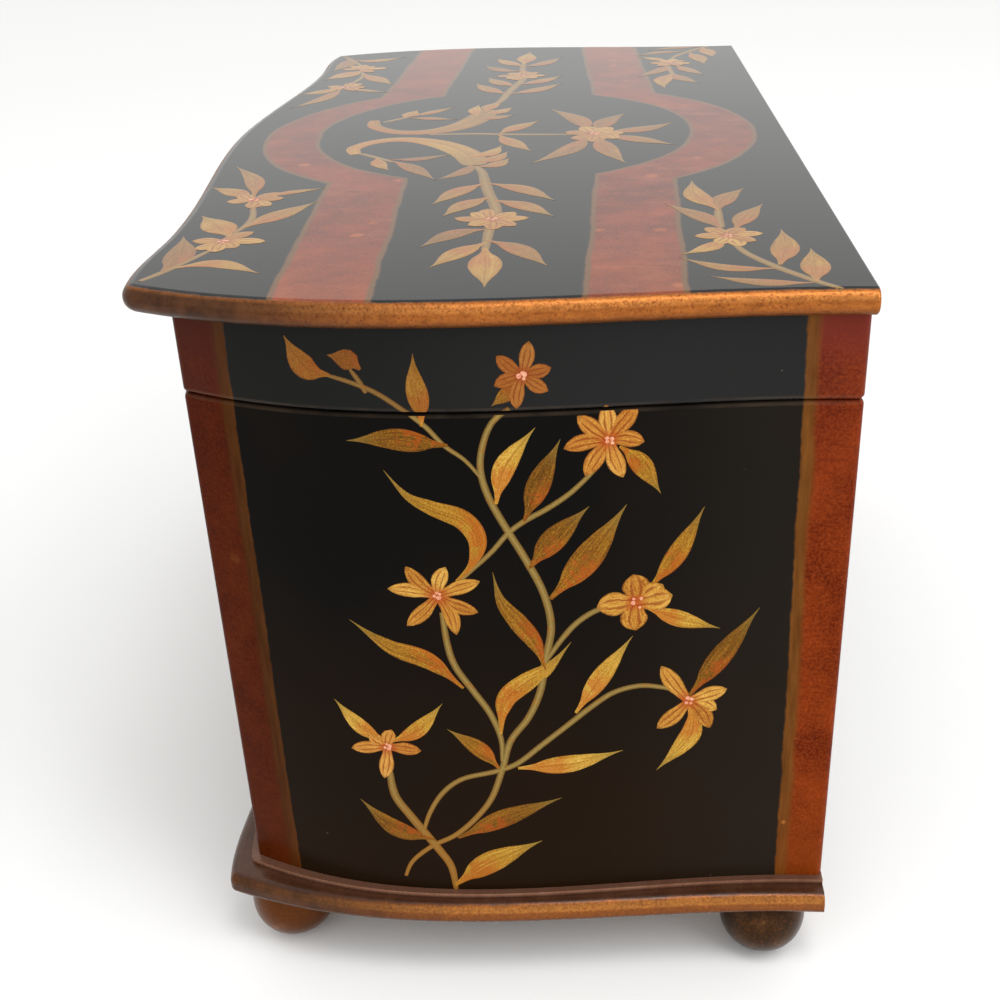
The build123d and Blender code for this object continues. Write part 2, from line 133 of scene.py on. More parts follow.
class Bench:
    """A node tree under construction."""

    def __init__(self, tree):
        self.tree = tree

    def node(self, kind, settings=None, *values, out=None, **named):
        """Adds a node: its settings, then the values and wires of its sockets by place or by name."""
        made = self.tree.nodes.new(kind)
        for name, value in (settings or {}).items():
            if name == "stops":
                self.set_ramp(made.color_ramp, value)
            elif name == "curve":
                self.set_curve(made.mapping, value)
            else:
                setattr(made, name, value)
        for name, value in (*enumerate(values), *named.items()):
            self.feed(find_socket(made.inputs, name), value)
        outputs = [s for s in made.outputs if s.enabled]
        if out:
            return Wire(self, made, find_socket(outputs, out))
        return Wire(self, made, outputs[0] if outputs else None)

    def feed(self, socket, value):
        """Gives a socket a wire or a value. A colour of three parts is a paint colour."""
        if isinstance(value, Wire):
            self.tree.links.new(value.socket, socket)
        else:
            socket.default_value = linear(value) if socket.type == "RGBA" and len(value) == 3 else value

    @staticmethod
    def set_ramp(ramp, stops):
        while len(ramp.elements) < len(stops):
            ramp.elements.new(0.5)
        for element, (place, colour) in zip(ramp.elements, stops):
            element.position, element.color = place, linear(colour)

    @staticmethod
    def set_curve(mapping, points):
        curve = mapping.curves[0]
        while len(curve.points) < len(points):
            curve.points.new(0.5, 0.5)
        for point, place in zip(curve.points, points):
            point.location = place
        mapping.update()

    def coat(self, colour, *coats):
        """Coats of paint over a colour. Each is its share and its own colour."""
        for share, paint in coats:
            colour = self.node("ShaderNodeMix", {"data_type": "RGBA"}, Factor=share, A=colour, B=paint)
        return colour

    def ramp(self, value, *stops):
        return self.node("ShaderNodeValToRGB", {"stops": stops}, value)

    def place(self):
        """A point of the chest, and its x, y and z in millimetres."""
        spot = self.node("ShaderNodeTexCoord", out="Object")
        parts = self.parts(spot)
        return spot, parts.out("X") * 1000, parts.out("Y") * 1000, parts.out("Z") * 1000

    def parts(self, spot):
        """A place or vector, to be split into its X, Y and Z."""
        return self.node("ShaderNodeSeparateXYZ", None, spot)

    def join(self, x, y, z):
        return self.node("ShaderNodeCombineXYZ", None, x, y, z)

    def vector(self, operation, first, *other, **named):
        """Maths on vectors, such as the sum of two."""
        return self.node("ShaderNodeVectorMath", {"operation": operation}, first, *other, **named)

    def stretch(self, spot, x, y, z):
        return self.vector("MULTIPLY", spot, (x, y, z))

    def noise(self, spot, size, detail=3.0, rough=0.55, twist=0.0):
        """Soft noise from 0 to 1 whose lumps are about the given size in millimetres."""
        return self.node(
            "ShaderNodeTexNoise",
            Vector=spot, Scale=1000 / size, Detail=detail, Roughness=rough, Distortion=twist,
        )

    def specks(self, spot, apart, radius, share):
        """Round specks of a radius in millimetres, in a share of cells that lie about so far apart."""
        cells = self.node("ShaderNodeTexVoronoi", Vector=spot, Scale=1000 / apart)
        chance = self.node("ShaderNodeSeparateColor", Color=cells.out("Color"))
        reach = radius / apart
        return (1 - cells.rise(reach * 0.5, reach * 1.3)) * chance.out("Red").over(1 - share)

    def read(self, *names):
        """What brushwork carries, such as the place along its stroke."""
        return [self.node("ShaderNodeAttribute", {"attribute_name": name}, out="Fac") for name in names]

    def bump(self, height, depth, strength=1.0):
        """A relief of the given depth in millimetres."""
        return self.node("ShaderNodeBump", Height=height, Strength=strength, Distance=depth * MM)

    def named(self, name):
        """A named attribute, in Geometry Nodes."""
        return self.node("GeometryNodeInputNamedAttribute", Name=name)

    def store(self, geometry, name, value):
        return self.node("GeometryNodeStoreNamedAttribute", Geometry=geometry, Name=name, Value=value)

    def shape_of(self, piece):
        """The geometry of another object, in Geometry Nodes."""
        return self.node("GeometryNodeObjectInfo", Object=piece, out="Geometry")


def make_finish(name, recipe, **steady):
    """A material. Its recipe gives what changes over the surface, and steady what doesn't."""
    material = bpy.data.materials.new(name)
    material.use_nodes = True
    bench = Bench(material.node_tree)
    shader = material.node_tree.nodes["Principled BSDF"]
    for key, value in {**steady, **recipe(bench, *bench.place())}.items():
        bench.feed(find_socket(shader.inputs, key), value)
    return material


def shared_finish(name, recipe, **steady):
    """A material that several steps use."""
    return bpy.data.materials.get(name) or make_finish(name, recipe, **steady)


def dress(material, *names):
    """Puts a material on CAD nodes."""
    for name in names:
        slots = nodes[name].data.materials
        for i in range(len(slots)):
            slots[i] = material
        if not slots:
            slots.append(material)


def lacquer_ground(bench, spot, z):
    """Black lacquer with a warmer cast low down, faint clouds and a little dust."""
    clouds = bench.noise(spot, 60, 4)
    warmth = (1 - z.rise(40, 190)) * 0.7 + (clouds - 0.5) * 0.6
    dust = bench.specks(spot, 11, 0.28, 0.5)
    scuffs = bench.noise(bench.stretch(spot, 1, 0.35, 0.35), 2.0, 4, 0.7).rise(0.7, 0.85)
    black = bpy.context.scene.chest_paint.lacquer
    colour = bench.coat(
        black, (warmth, WARM_BLACK), (dust * 0.5, (118, 110, 98)), (scuffs * 0.25, (70, 62, 54))
    )
    return colour, clouds, dust


def red_paint(bench, spot):
    """Mottled red with deeper patches, a fine grain and a few soft orange spots."""
    patches = bench.noise(spot, 20, 6, 0.6)
    fine = bench.noise(spot, 0.9, 4, 0.7)
    strokes = bench.noise(bench.stretch(spot, 1, 0.25, 1), 1.6, 3, 0.6)
    soft = bench.vector("ADD", spot, bench.noise(spot, 1.5, 3) * 0.0012)
    colour = bench.coat(
        DEEP_RED,
        ((patches - 0.36) * 2.6, bpy.context.scene.chest_paint.red),
        ((fine - 0.42) * 1.7, (164, 74, 28)),
        ((0.42 - fine) * 2.2, (56, 14, 3)),
        ((strokes - 0.5).rise(0.04, 0.16) * 0.3, (70, 20, 6)),
        (bench.specks(soft, 13, 2.4, 0.34) * (0.3 + fine * 0.4), RED_SPOT),
    )
    return colour, patches, fine


def worn_lacquer(bench, spot, colour, clouds, fine):
    """Rubbed lacquer: a colour with its roughness and faint relief."""
    relief = bench.bump(bench.noise(spot, 1.6, 2) + fine * 0.4, 0.012, 0.5)
    return {"Base_Color": colour, "Roughness": 0.2 + clouds * 0.08 + (fine - 0.5) * 0.05, "Normal": relief}


def end_recipe(bench, spot, x, y, z):
    """The ends of the case and skirt: black, with a red stripe and an olive line down each corner."""
    paint = bpy.context.scene.chest_paint
    wobble = (bench.noise(spot, 30, 3) - 0.5) * 2.2 + (bench.noise(spot, 3, 3) - 0.5) * 0.9
    front = wobble + (-y - paint.front_stripe * 1000)
    back = wobble + (y - paint.back_stripe * 1000) + (z - 120) * 0.008
    inside = front.at_least(back)
    striped = inside.rise(-0.4, 0.5)
    ground, clouds, dust = lacquer_ground(bench, spot, z)
    # The skirt's black, greyer than the case and lighter towards the back: partly its own black, partly
    # painted reflection.
    skirt_black_and_reflection = bench.coat((24, 24, 23), (y.rise(-60, 60), (34, 34, 34)))
    red, patches, fine = red_paint(bench, spot)
    # Painted reflection of the sky: the red turns purple towards the top.
    red = bench.coat(red, (z.rise(218, 236) * 0.7 + z.rise(150, 215) * 0.2, PURPLE_RED))
    streaks = bench.noise(bench.stretch(spot, 1, 1, 0.12), 2.0, 3)
    olive = bench.coat((88, 50, 16), ((streaks - 0.3) * 1.8, paint.olive))
    chips = bench.specks(spot, 9, 0.9, 0.2) * (1 - abs(inside - 3.5).rise(1.5, 4))
    seam = (z.line(210.9, 0.5) + z.line(213.0, 0.4)) * bench.noise(spot, 16, 3).rise(0.2, 0.7)
    colour = bench.coat(
        ground,
        (z.over(SEAM) * (1 - dust), skirt_black_and_reflection),
        # Painted reflection: the case's black lighter towards the back.
        ((1 - z.over(SEAM)) * y.rise(20, 95) * 0.5, (40, 34, 28)),
        (striped, olive),
        ((inside - (patches - 0.5) * 1.5).rise(2.4, 5.0), red),
        ((1 - z.rise(24, 90)) * striped * 0.4, (124, 58, 12)),
        (chips * 0.5, (188, 116, 56)),
        # Painted shade: the stripes darker at the front, which turns away from the light.
        (striped * (-y).rise(58, 80) * 0.7, (40, 11, 2)),
        (seam * 0.14, (120, 98, 78)),
    )
    return worn_lacquer(bench, spot, colour, clouds, fine)


def front_recipe(bench, spot, x, y, z):
    """The front and back: black, with an olive line next to the red corners."""
    line_x = 171.5
    edge = abs(x) - line_x + (bench.noise(spot, 22, 3) - 0.5) * 1.4
    ground, clouds, _ = lacquer_ground(bench, spot, z)
    streaks = bench.noise(bench.stretch(spot, 1, 1, 0.12), 2.5, 3)
    olive = bench.coat((84, 52, 20), ((streaks - 0.3) * 1.6, bpy.context.scene.chest_paint.olive))
    return worn_lacquer(bench, spot, bench.coat(ground, (edge.rise(-0.4, 0.4), olive)), clouds, streaks)


def from_centre(x, y):
    """How far a point is from where x and y are 0."""
    return (x * x + y * y) ** 0.5


def top_recipe(bench, spot, x, y, z):
    """The lid: two red bands that swell into a ring, on black, inside a gilded rim with a painted highlight
    and painted shade.
    """
    paint = bpy.context.scene.chest_paint
    # The bands lie a little forward of the middle, and the ring's hole is a little wider than deep.
    forward, ring_x, hole_forward, hole_wide, hole_deep, hole_mean = 1.5, 3, 3.6, 80, 74, 77
    highlight, rim_foot, rim_top = 243.9, 238.0, 245.25
    wobble = (bench.noise(spot, 26, 3) - 0.5) * 2.6 + (bench.noise(spot, 5, 2) - 0.5) * 0.7
    side = abs(y + forward)
    spread = (200 - abs(x)) * 0.035
    beyond_middle = side - paint.band_inner * 1000 - spread
    in_band = paint.band_outer * 1000 + spread - side
    in_disc = paint.ring_outer * 1000 - from_centre(x - ring_x, y + forward)
    past_hole = from_centre(x / hole_wide, (y + hole_forward) / hole_deep) * hole_mean - hole_mean
    inside = beyond_middle.at_most(in_band.at_least(in_disc)).at_most(past_hole) + wobble
    ground, clouds, _ = lacquer_ground(bench, spot, z)
    red, patches, _ = red_paint(bench, spot)
    dabs = bench.noise(bench.stretch(spot, 1, 0.55, 1), 9, 5, 0.7)
    red = bench.coat(
        red,
        (abs(x).rise(110, 205) * 0.22, (166, 84, 30)),
        ((dabs - 0.5).rise(0.0, 0.16) * 0.2, (172, 96, 62)),
        ((0.5 - dabs).rise(0.02, 0.16) * 0.3, (84, 26, 14)),
    )
    hammer = bench.noise(spot, 5, 4, 0.6)
    grain = bench.noise(spot, 0.8, 3, 0.65)
    brushed = bench.noise(bench.stretch(spot, 1, 0.22, 1), 1.4, 4, 0.65)
    # The colour of the painted shade at the rim's front.
    shaded = bench.coat((40, 24, 16), ((hammer - 0.35) * 1.6, (92, 58, 36)))
    # Painted highlight on the back corners of the rim.
    back_corner_highlight = y.rise(106.7, 107.2) * abs(x).rise(201, 205) * hammer.rise(0.3, 0.6)
    gold = bench.coat(
        paint.gilding,
        ((grain - 0.28) * 1.9, (188, 112, 46)),
        ((0.62 - hammer).rise(0.0, 0.3) * 0.45, (132, 70, 24)),
        ((0.5 - brushed).rise(0.0, 0.14) * 0.35, (112, 56, 18)),
        ((0.42 - grain).rise(0.0, 0.08) * 0.55, (92, 44, 14)),
        # Painted highlight along the rim's upper round.
        (z.line(highlight, 1.1) * (0.2 + (grain - 0.5) * 0.9), (232, 158, 84)),
        # Painted shade on the rim's lower round.
        ((1 - z.rise(rim_foot, rim_foot + 3.6)) * 0.6, (88, 46, 16)),
        # Painted shade: the front of the rim darker.
        ((-y).rise(0, 78) * (1.0 - z.rise(244.5, 245.3) * 0.45) * 0.92, shaded),
        (back_corner_highlight * 0.6, (236, 206, 150)),
    )
    rim = 1 - (z + (bench.noise(spot, 8, 3) - 0.5) * 0.2).rise(rim_top, rim_top + 0.25)
    colour = bench.coat(
        ground,
        (inside.rise(-0.4, 0.6), (104, 70, 36)),
        ((inside - (patches - 0.5) * 1.2).rise(1.0, 2.4), red),
        (rim, gold),
    )
    peel = bench.noise(spot, 1.6, 2)
    return {
        "Base_Color": colour,
        "Roughness": 0.12 + clouds * 0.05 + rim * (0.2 + (grain - 0.5) * 0.25),
        "Metallic": rim * 0.6,
        "Normal": bench.bump(peel * 0.02 + rim * (hammer * 0.5 + grain * 0.3 + brushed * 0.3), 0.3, 0.8),
    }


def moulding_recipe(bench, spot, x, y, z):
    """The base moulding: a gilded bead, a dark flat over it, and a pinkish brown ledge on top, with painted
    highlights and painted shade.
    """
    bead_middle, bead_top, ledge_top = 30.2, 31.2, 33.95
    hammer = bench.noise(spot, 6, 5, 0.62)
    grain = bench.noise(spot, 0.8, 3, 0.6)
    flat = (z + (bench.noise(spot, 10, 3) - 0.5) * 0.8).rise(bead_top, bead_top + 0.8)
    # The colour of the painted shade at the moulding's front.
    shaded = bench.coat((44, 20, 4), ((hammer - 0.35) * 2, (90, 48, 14)))
    brown = bench.coat(BROWN, ((hammer - 0.4) * 1.5, (84, 44, 20)))
    ledge_with_highlight = bench.coat((150, 104, 80), ((hammer - 0.35) * 1.2, (180, 140, 114)))
    colour = bench.coat(
        (116, 60, 14),
        ((grain - 0.3) * 1.9, (172, 98, 30)),
        ((0.6 - hammer).rise(0.0, 0.3) * 0.5, (112, 58, 18)),
        # Painted highlight along the bead's middle.
        (z.line(bead_middle, 1.1) * (0.25 + (grain - 0.5) * 0.9), (222, 152, 74)),
        # Painted shade on the bead's lower round.
        ((1 - z.rise(25.5, 28.8)) * 0.45, (110, 58, 18)),
        # Painted shade: the front of the moulding darker.
        ((-y).rise(0, 80) * 0.9, shaded),
        # The flat's dark brown: partly its own colour, partly painted shade where a cove would lie.
        (flat, brown),
        # Painted highlight: the ledge's pinkish brown, lighter up its side.
        (z.rise(31.7, 33.9), ledge_with_highlight),
        # Painted shade on the ledge's top.
        (z.over(ledge_top) * 0.8, (92, 60, 46)),
        # Painted shade at the foot of the bead.
        ((1 - z.rise(24.6, 27.2)) * 0.75, BROWN),
    )
    return {
        "Base_Color": colour,
        "Roughness": 0.27 + (hammer - 0.5) * 0.3,
        "Metallic": 0.65 - flat * 0.4,
        "Normal": bench.bump(hammer + grain * 0.4, 0.14, 0.7),
    }


def foot_recipe(bench, spot, x, y, z):
    """Bun feet: bronze brown with worn orange patches, with painted shade underneath and next to the
    moulding.
    """
    patches = bench.noise(spot, 12, 5, 0.6)
    grain = bench.noise(spot, 1.0, 4, 0.65)
    colour = bench.coat(
        (38, 24, 12),
        ((patches - 0.32) * 2, (76, 48, 24)),
        ((grain - 0.45) * 1.2, (128, 76, 32)),
        ((patches - 0.5).rise(0.08, 0.22) * 0.4, (176, 118, 66)),
        # Painted shade under the feet.
        ((1 - z.rise(1.2, 9)) * 0.85, (28, 22, 18)),
        # Painted shade under the moulding.
        (z.rise(20, 24.4) * 0.8, (34, 20, 10)),
        ((-y).rise(20, 60) * 0.35, (126, 62, 6)),
    )
    relief = bench.bump(grain * 0.5 + patches, 0.12, 0.7)
    return {"Base_Color": colour, "Roughness": 0.26 + (patches - 0.5) * 0.3, "Normal": relief}


def frame_recipe(bench, spot, x, y, z):
    """The mirror's frame: the same gilding as the rim, darker near the glass."""
    hammer = bench.noise(spot, 3.5, 4, 0.6)
    half_wide, half_deep = 135, 67
    inner = 1 - (abs(x) - half_wide).at_least(abs(y - MIRROR_MIDDLE) - half_deep).rise(0.4, 2.4)
    ground = bpy.context.scene.chest_paint.gilding
    gold = bench.coat(ground, ((hammer - 0.36) * 2.4, GOLD), (inner * 0.7, BROWN))
    relief = bench.bump(hammer, 0.2, 0.7)
    return {"Base_Color": gold, "Roughness": 0.4 + (hammer - 0.5) * 0.3, "Normal": relief}


def wood_recipe(*shape):
    """Satin wood whose grain runs where the shape of its noise is drawn out."""

    def recipe(bench, spot, *_):
        rings = bench.noise(bench.stretch(spot, *shape), 9, 4, 0.6, 0.6)
        pores = bench.noise(bench.stretch(spot, *[s * (0.5 if s < 1 else 1) for s in shape]), 0.9, 3, 0.7)
        bands = rings.maths("FRACT", rings * 7)
        colour = bench.coat(
            bpy.context.scene.chest_fittings.wood,
            (bands.rise(0.0, 0.9), (150, 104, 64)),
            (pores.rise(0.55, 0.75) * 0.6, (104, 68, 40)),
            ((bench.noise(spot, 70, 3) - 0.45) * 0.9, (136, 94, 58)),
        )
        relief = bench.bump(pores + bands * 0.3, 0.05, 0.6)
        return {"Base_Color": colour, "Roughness": 0.46 + (pores - 0.5) * 0.2, "Normal": relief}

    return recipe


wood_along_x = wood_recipe(0.06, 1, 1)
wood_along_y = wood_recipe(1, 0.06, 1)


def rail_recipe(bench, spot, x, y, z):
    """Boards between the drawers: bare wood inside, and black lacquer along the serpentine front edge."""
    finish = wood_along_x(bench, spot)
    bow_half, bow_proud, front_y = 134.8, 9.5, 90.5
    share = (abs(x) / bow_half).at_most(1.0)
    proud = 0.6 + bow_proud * (1 - share) * (1 - share) * (1 + 2 * share)
    behind = y + front_y + proud + (bench.noise(spot, 8, 3) - 0.5) * 1.6
    painted = 1 - behind.rise(5.0, 5.8)
    black = bench.coat(bpy.context.scene.chest_paint.lacquer, (bench.noise(spot, 30), WARM_BLACK))
    finish["Base_Color"] = bench.coat(finish["Base_Color"], (painted, black))
    finish["Roughness"] = finish["Roughness"] - painted * 0.22
    return finish


def velvet_recipe(bench, spot, *_):
    """Wine-red velvet: a short pile that is stroked lighter and darker in patches."""
    stroked = bench.noise(bench.stretch(spot, 1, 0.6, 1), 22, 3, 0.5, 0.8)
    pile = bench.noise(spot, 0.55, 2, 0.7)
    dyed = bpy.context.scene.chest_fittings.velvet
    colour = bench.coat(
        dyed, ((stroked - 0.35) * 2.2, (134, 30, 36)), ((pile - 0.4) * 1.5, (64, 8, 14))
    )
    relief = bench.bump(pile + stroked * 1.5, 0.12, 0.7)
    return {"Base_Color": colour, "Roughness": 0.86 + (stroked - 0.5) * 0.2, "Normal": relief}


def felt_recipe(bench, spot, *_):
    """Dark felt with loose fibres."""
    fibres = bench.noise(bench.stretch(spot, 1, 0.35, 1), 0.8, 4, 0.7, 1.5)
    colour = bench.coat((48, 46, 46), ((fibres - 0.35) * 2, (92, 90, 88)))
    return {"Base_Color": colour, "Normal": bench.bump(fibres, 0.15, 0.8)}


def brass_recipe(bench, spot, *_):
    """Satin brass, a little darker where it is not touched."""
    tarnish = bench.noise(spot, 6, 5, 0.65)
    brushed = bench.noise(bench.stretch(spot, 0.1, 1, 1), 0.5, 2)
    bright = bpy.context.scene.chest_fittings.brass
    colour = bench.coat(bright, ((tarnish - 0.42) * 2.2, (150, 114, 64)))
    rough = 0.24 + (tarnish - 0.4) * 0.35 + (brushed - 0.5) * 0.12
    relief = bench.bump(brushed + tarnish * 0.5, 0.02, 0.5)
    return {"Base_Color": colour, "Roughness": rough, "Normal": relief}


def mirror_recipe(bench, spot, x, y, z):
    """Silvered glass, with a bevel that catches the light and a little haze at the edge."""
    half_wide, half_deep = 134.0, 66.0
    edge = (half_wide - abs(x)).at_most(half_deep - abs(y - MIRROR_MIDDLE))
    hazy = (1 - edge.rise(0.4, 12)) * bench.noise(spot, 14, 4)
    colour = bench.coat((0.86, 0.88, 0.88, 1), (hazy * 0.6, (0.62, 0.64, 0.62, 1)))
    relief = bench.bump(edge.at_most(10.0) * 0.1, 0.9, 0.6)
    return {"Base_Color": colour, "Roughness": 0.02 + hazy * 0.05, "Normal": relief}


def brushwork_recipe(bench, spot, x, y, z, painted_haze=0.0):
    """Leaves, stems and petals: ochre, gold and orange laid on wet with a fine brush."""
    along, across, tint, kind, warm = bench.read("along", "across", "tint", "kind", "warm")
    side = abs(across)
    is_petal = kind.over(1.5) * (1 - kind.over(2.5))
    hairs = bench.noise(bench.join(along * 0.003, across * 0.005, tint * 0.5), 1.0, 4, 0.65)
    grain = bench.noise(spot, 0.42, 3, 0.7)
    blots = bench.noise(spot, 2.4, 4, 0.6)
    mottle = (hairs - 0.5) * 0.8 + (grain - 0.5) * 1.1
    blush = along.line(0.26, 0.22) * (blots + (across + 0.4) * 0.14 + tint * 0.16).rise(0.5, 0.7)
    leaf = bench.coat(
        bench.ramp(
            mottle + 0.5 + (tint - 0.55) * 0.45,
            (0.12, (82, 52, 10)), (0.38, (136, 88, 22)), (0.62, (178, 130, 40)), (0.9, (218, 180, 86)),
        ),
        (along.rise(0.62, 1.0) * 0.7, (122, 102, 46)),
        (blush * 0.5, (174, 72, 18)),
        (warm * 0.6, bench.coat((104, 56, 20), (grain, (190, 116, 50)))),
        (along.line(0.55, 0.4) * (1 - side.rise(0.02, 0.1)) * 0.35, (110, 60, 16)),
    )
    lines = (side + (hairs - 0.5) * 0.5 - 0.36).line(0.0, 0.1) * along.line(0.45, 0.4)
    petal = bench.coat(
        bench.ramp(
            mottle + 0.5 + (tint - 0.5) * 0.3,
            (0.1, (126, 62, 16)), (0.4, (180, 120, 42)), (0.66, (208, 160, 72)), (0.92, (240, 204, 116)),
        ),
        (warm * 0.6, bench.coat((150, 62, 20), (grain, (206, 116, 52)))),
        ((1 - along.rise(0.08, 0.42)) * 0.75, (166, 54, 18)),
        (lines * 0.7, (128, 50, 16)),
    )
    ochre = (blots.rise(0.54, 0.68) * 0.5).at_least((1 - z.rise(44, 96)) * 0.65)
    stem = bench.coat(
        (96, 72, 28), ((1 - side) * 0.6 + mottle * 0.6, (174, 148, 84)), (ochre, (150, 94, 26))
    )
    edge = (side + (blots - 0.5) * 0.3).rise(0.78, 1.0) * (0.3 + is_petal * 0.45)
    tip = is_petal * along.rise(0.86, 1.0) * 0.5
    on_skirt = z.over(SEAM) * (1 - z.over(SKIRT_TOP))
    colour = bench.coat(
        leaf,
        (1 - kind.over(0.5), stem),
        (is_petal, petal),
        (edge.at_least(tip), (92, 40, 14)),
        (on_skirt * 0.45, bench.coat((56, 26, 10), (grain, (132, 72, 34)))),
    )
    # Painted reflection: the lacquer's haze laid over the brushwork as a paler, duller colour.
    if painted_haze:
        colour = bench.coat(colour, (painted_haze, bench.coat((112, 84, 48), (blots, (164, 122, 80)))))
    return {"Base_Color": colour, "Normal": bench.bump(hairs * 0.6 + grain * 0.4, 0.04, 0.6)}


def lid_brushwork_recipe(bench, *place):
    """The same brushwork on the lid, made paler and duller by a painted haze of the lacquer's reflection."""
    return brushwork_recipe(bench, *place, painted_haze=0.42)


def heart_recipe(bench, spot, *_):
    """The heart of a flower: a red-brown centre under pink dots."""
    blots = bench.noise(spot, 0.9, 3)
    dot = bench.coat((210, 128, 96), ((blots - 0.35) * 2, (242, 202, 172)))
    centre = bench.coat((140, 50, 20), ((blots - 0.35) * 2, (190, 90, 44)))
    colour = bench.coat(centre, (bench.read("tint")[0], dot))
    return {"Base_Color": colour, "Normal": bench.bump(blots, 0.05, 0.6)}


class Brush:
    """Strokes painted flat, in millimetres across and up, before they are laid on a panel."""

    def __init__(self, seed):
        self.luck = random.Random(seed)
        self.warm = 0.0
        self.strokes = []
        self.dots = []

    def stroke(self, kind, width, points, lift):
        self.strokes.append((kind, width, [Vector(p) for p in points], lift, self.luck.random(), self.warm))

    def stem(self, width, *points):
        self.stroke(STEM, width, points, 0.0)

    def horn(self, width, *points):
        """A curl that swells from its thin rolled end."""
        self.stroke(HORN, width, points, 0.01)

    def leaf(self, width, *points):
        """A leaf from its base to its tip, bowed by chance where no point lies between them."""
        if len(points) == 2:
            points = self.bowed(*points, 0.12)
        self.stroke(LEAF, width, points, 0.02 + 0.02 * self.luck.random())

    def bowed(self, base, tip, most, start=0.0):
        """Three points from base to tip, the middle one moved aside by chance."""
        base, tip = Vector(base), Vector(tip)
        bow = Vector((base.y - tip.y, tip.x - base.x)) * self.luck.uniform(-most, most)
        return base.lerp(tip, start), base.lerp(tip, 0.5) + bow, tip

    def leaves(self, width, *leaves):
        for leaf in leaves:
            self.leaf(width, *leaf)

    def flower(self, heart, width, *tips, dots=4):
        """A flower: a petal to each tip, a dark centre and dots on it."""
        heart = Vector(heart)
        for i, tip in enumerate(tips):
            self.stroke(PETAL, width, self.bowed(heart, tip, 0.08, -0.04), 0.035 + 0.008 * (i % 4))
        self.dots.append((heart, width * 0.3, 0.0, 0.055))
        for i in range(dots):
            turn = math.tau * (i + self.luck.random() * 0.5) / dots
            place = heart + Vector((math.cos(turn), math.sin(turn))) * width * self.luck.uniform(0.1, 0.24)
            self.dots.append((place, self.luck.uniform(0.55, 0.85), 1.0, 0.075))

    def copy_to(self, other, scale=(1, 1), shift=(0, 0), wide=1.0):
        """Paints the same spray again on another panel, scaled and moved."""

        def moved(p):
            return Vector((p.x * scale[0] + shift[0], p.y * scale[1] + shift[1]))

        for kind, width, points, lift, tint, warm in self.strokes:
            points = [moved(p) for p in points]
            other.strokes.append((kind, width * wide, points, lift, (tint + 0.37) % 1, warm))
        other.dots += [(moved(p), *rest) for p, *rest in self.dots]

    def drawing(self, name):
        """The strokes as threads of points that carry their width, kind, tint and lift."""
        keys = ("along", "width", "kind", "tint", "lift", "warm")
        points, edges, marks = [], [], {key: [] for key in keys}
        for kind, width, path, lift, tint, warm in self.strokes:
            first = len(points)
            total = sum((b - a).length for a, b in zip(path, path[1:]))
            gone = 0.0
            for i, p in enumerate(path):
                gone += (p - path[i - 1]).length if i else 0.0
                points.append((p.x * MM, p.y * MM, 0.0))
                for key, value in zip(keys, (gone / total, width * MM, kind, tint, lift * MM, warm)):
                    marks[key].append(value)
            edges += [(first + i, first + i + 1) for i in range(len(path) - 1)]
        return thread_mesh(name, points, edges, marks)

    def dotting(self, name):
        """The flower hearts as loose points with their size and tint."""
        points = [(p.x * MM, p.y * MM, lift * MM) for p, _, _, lift in self.dots]
        marks = {"size": [radius * MM for _, radius, _, _ in self.dots]}
        marks["tint"] = [tint for _, _, tint, _ in self.dots]
        return thread_mesh(name, points, [], marks)


def thread_mesh(name, points, edges=(), marks=None):
    """Loose points and edges, with named values on the points."""
    mesh = bpy.data.meshes.new(name)
    mesh.from_pydata(points, edges, [])
    for key, values in (marks or {}).items():
        mesh.attributes.new(key, "FLOAT", "POINT").data.foreach_set("value", values)
    return new_piece(name, mesh)


def new_piece(name, data):
    """A mesh, a light or a camera as an object of the scene."""
    piece = bpy.data.objects.new(name, data)
    bpy.context.scene.collection.objects.link(piece)
    return piece


def start_tree(name, inputs):
    """A Geometry Nodes tree with named inputs and a paint: its bench and a wire for each input."""
    tree = bpy.data.node_groups.new(name, "GeometryNodeTree")
    tree.interface.new_socket("Geometry", in_out="OUTPUT", socket_type="NodeSocketGeometry")
    inputs = {"Geometry": ("Geometry", None), **inputs, "Paint": ("Material", None)}
    for label, (kind, default) in inputs.items():
        socket = tree.interface.new_socket(label, in_out="INPUT", socket_type="NodeSocket" + kind)
        if default is not None:
            socket.default_value = default
    bench = Bench(tree)
    entry = bench.node("NodeGroupInput")
    return bench, {label: entry.out(label) for label in inputs}


def end_tree(bench, geometry, given):
    """Ends a tree in real geometry with its paint."""
    real = bench.node("GeometryNodeRealizeInstances", Geometry=geometry)
    painted = bench.node("GeometryNodeSetMaterial", Geometry=real, Material=given["Paint"])
    bench.node("NodeGroupOutput", None, painted)
    return bench.tree


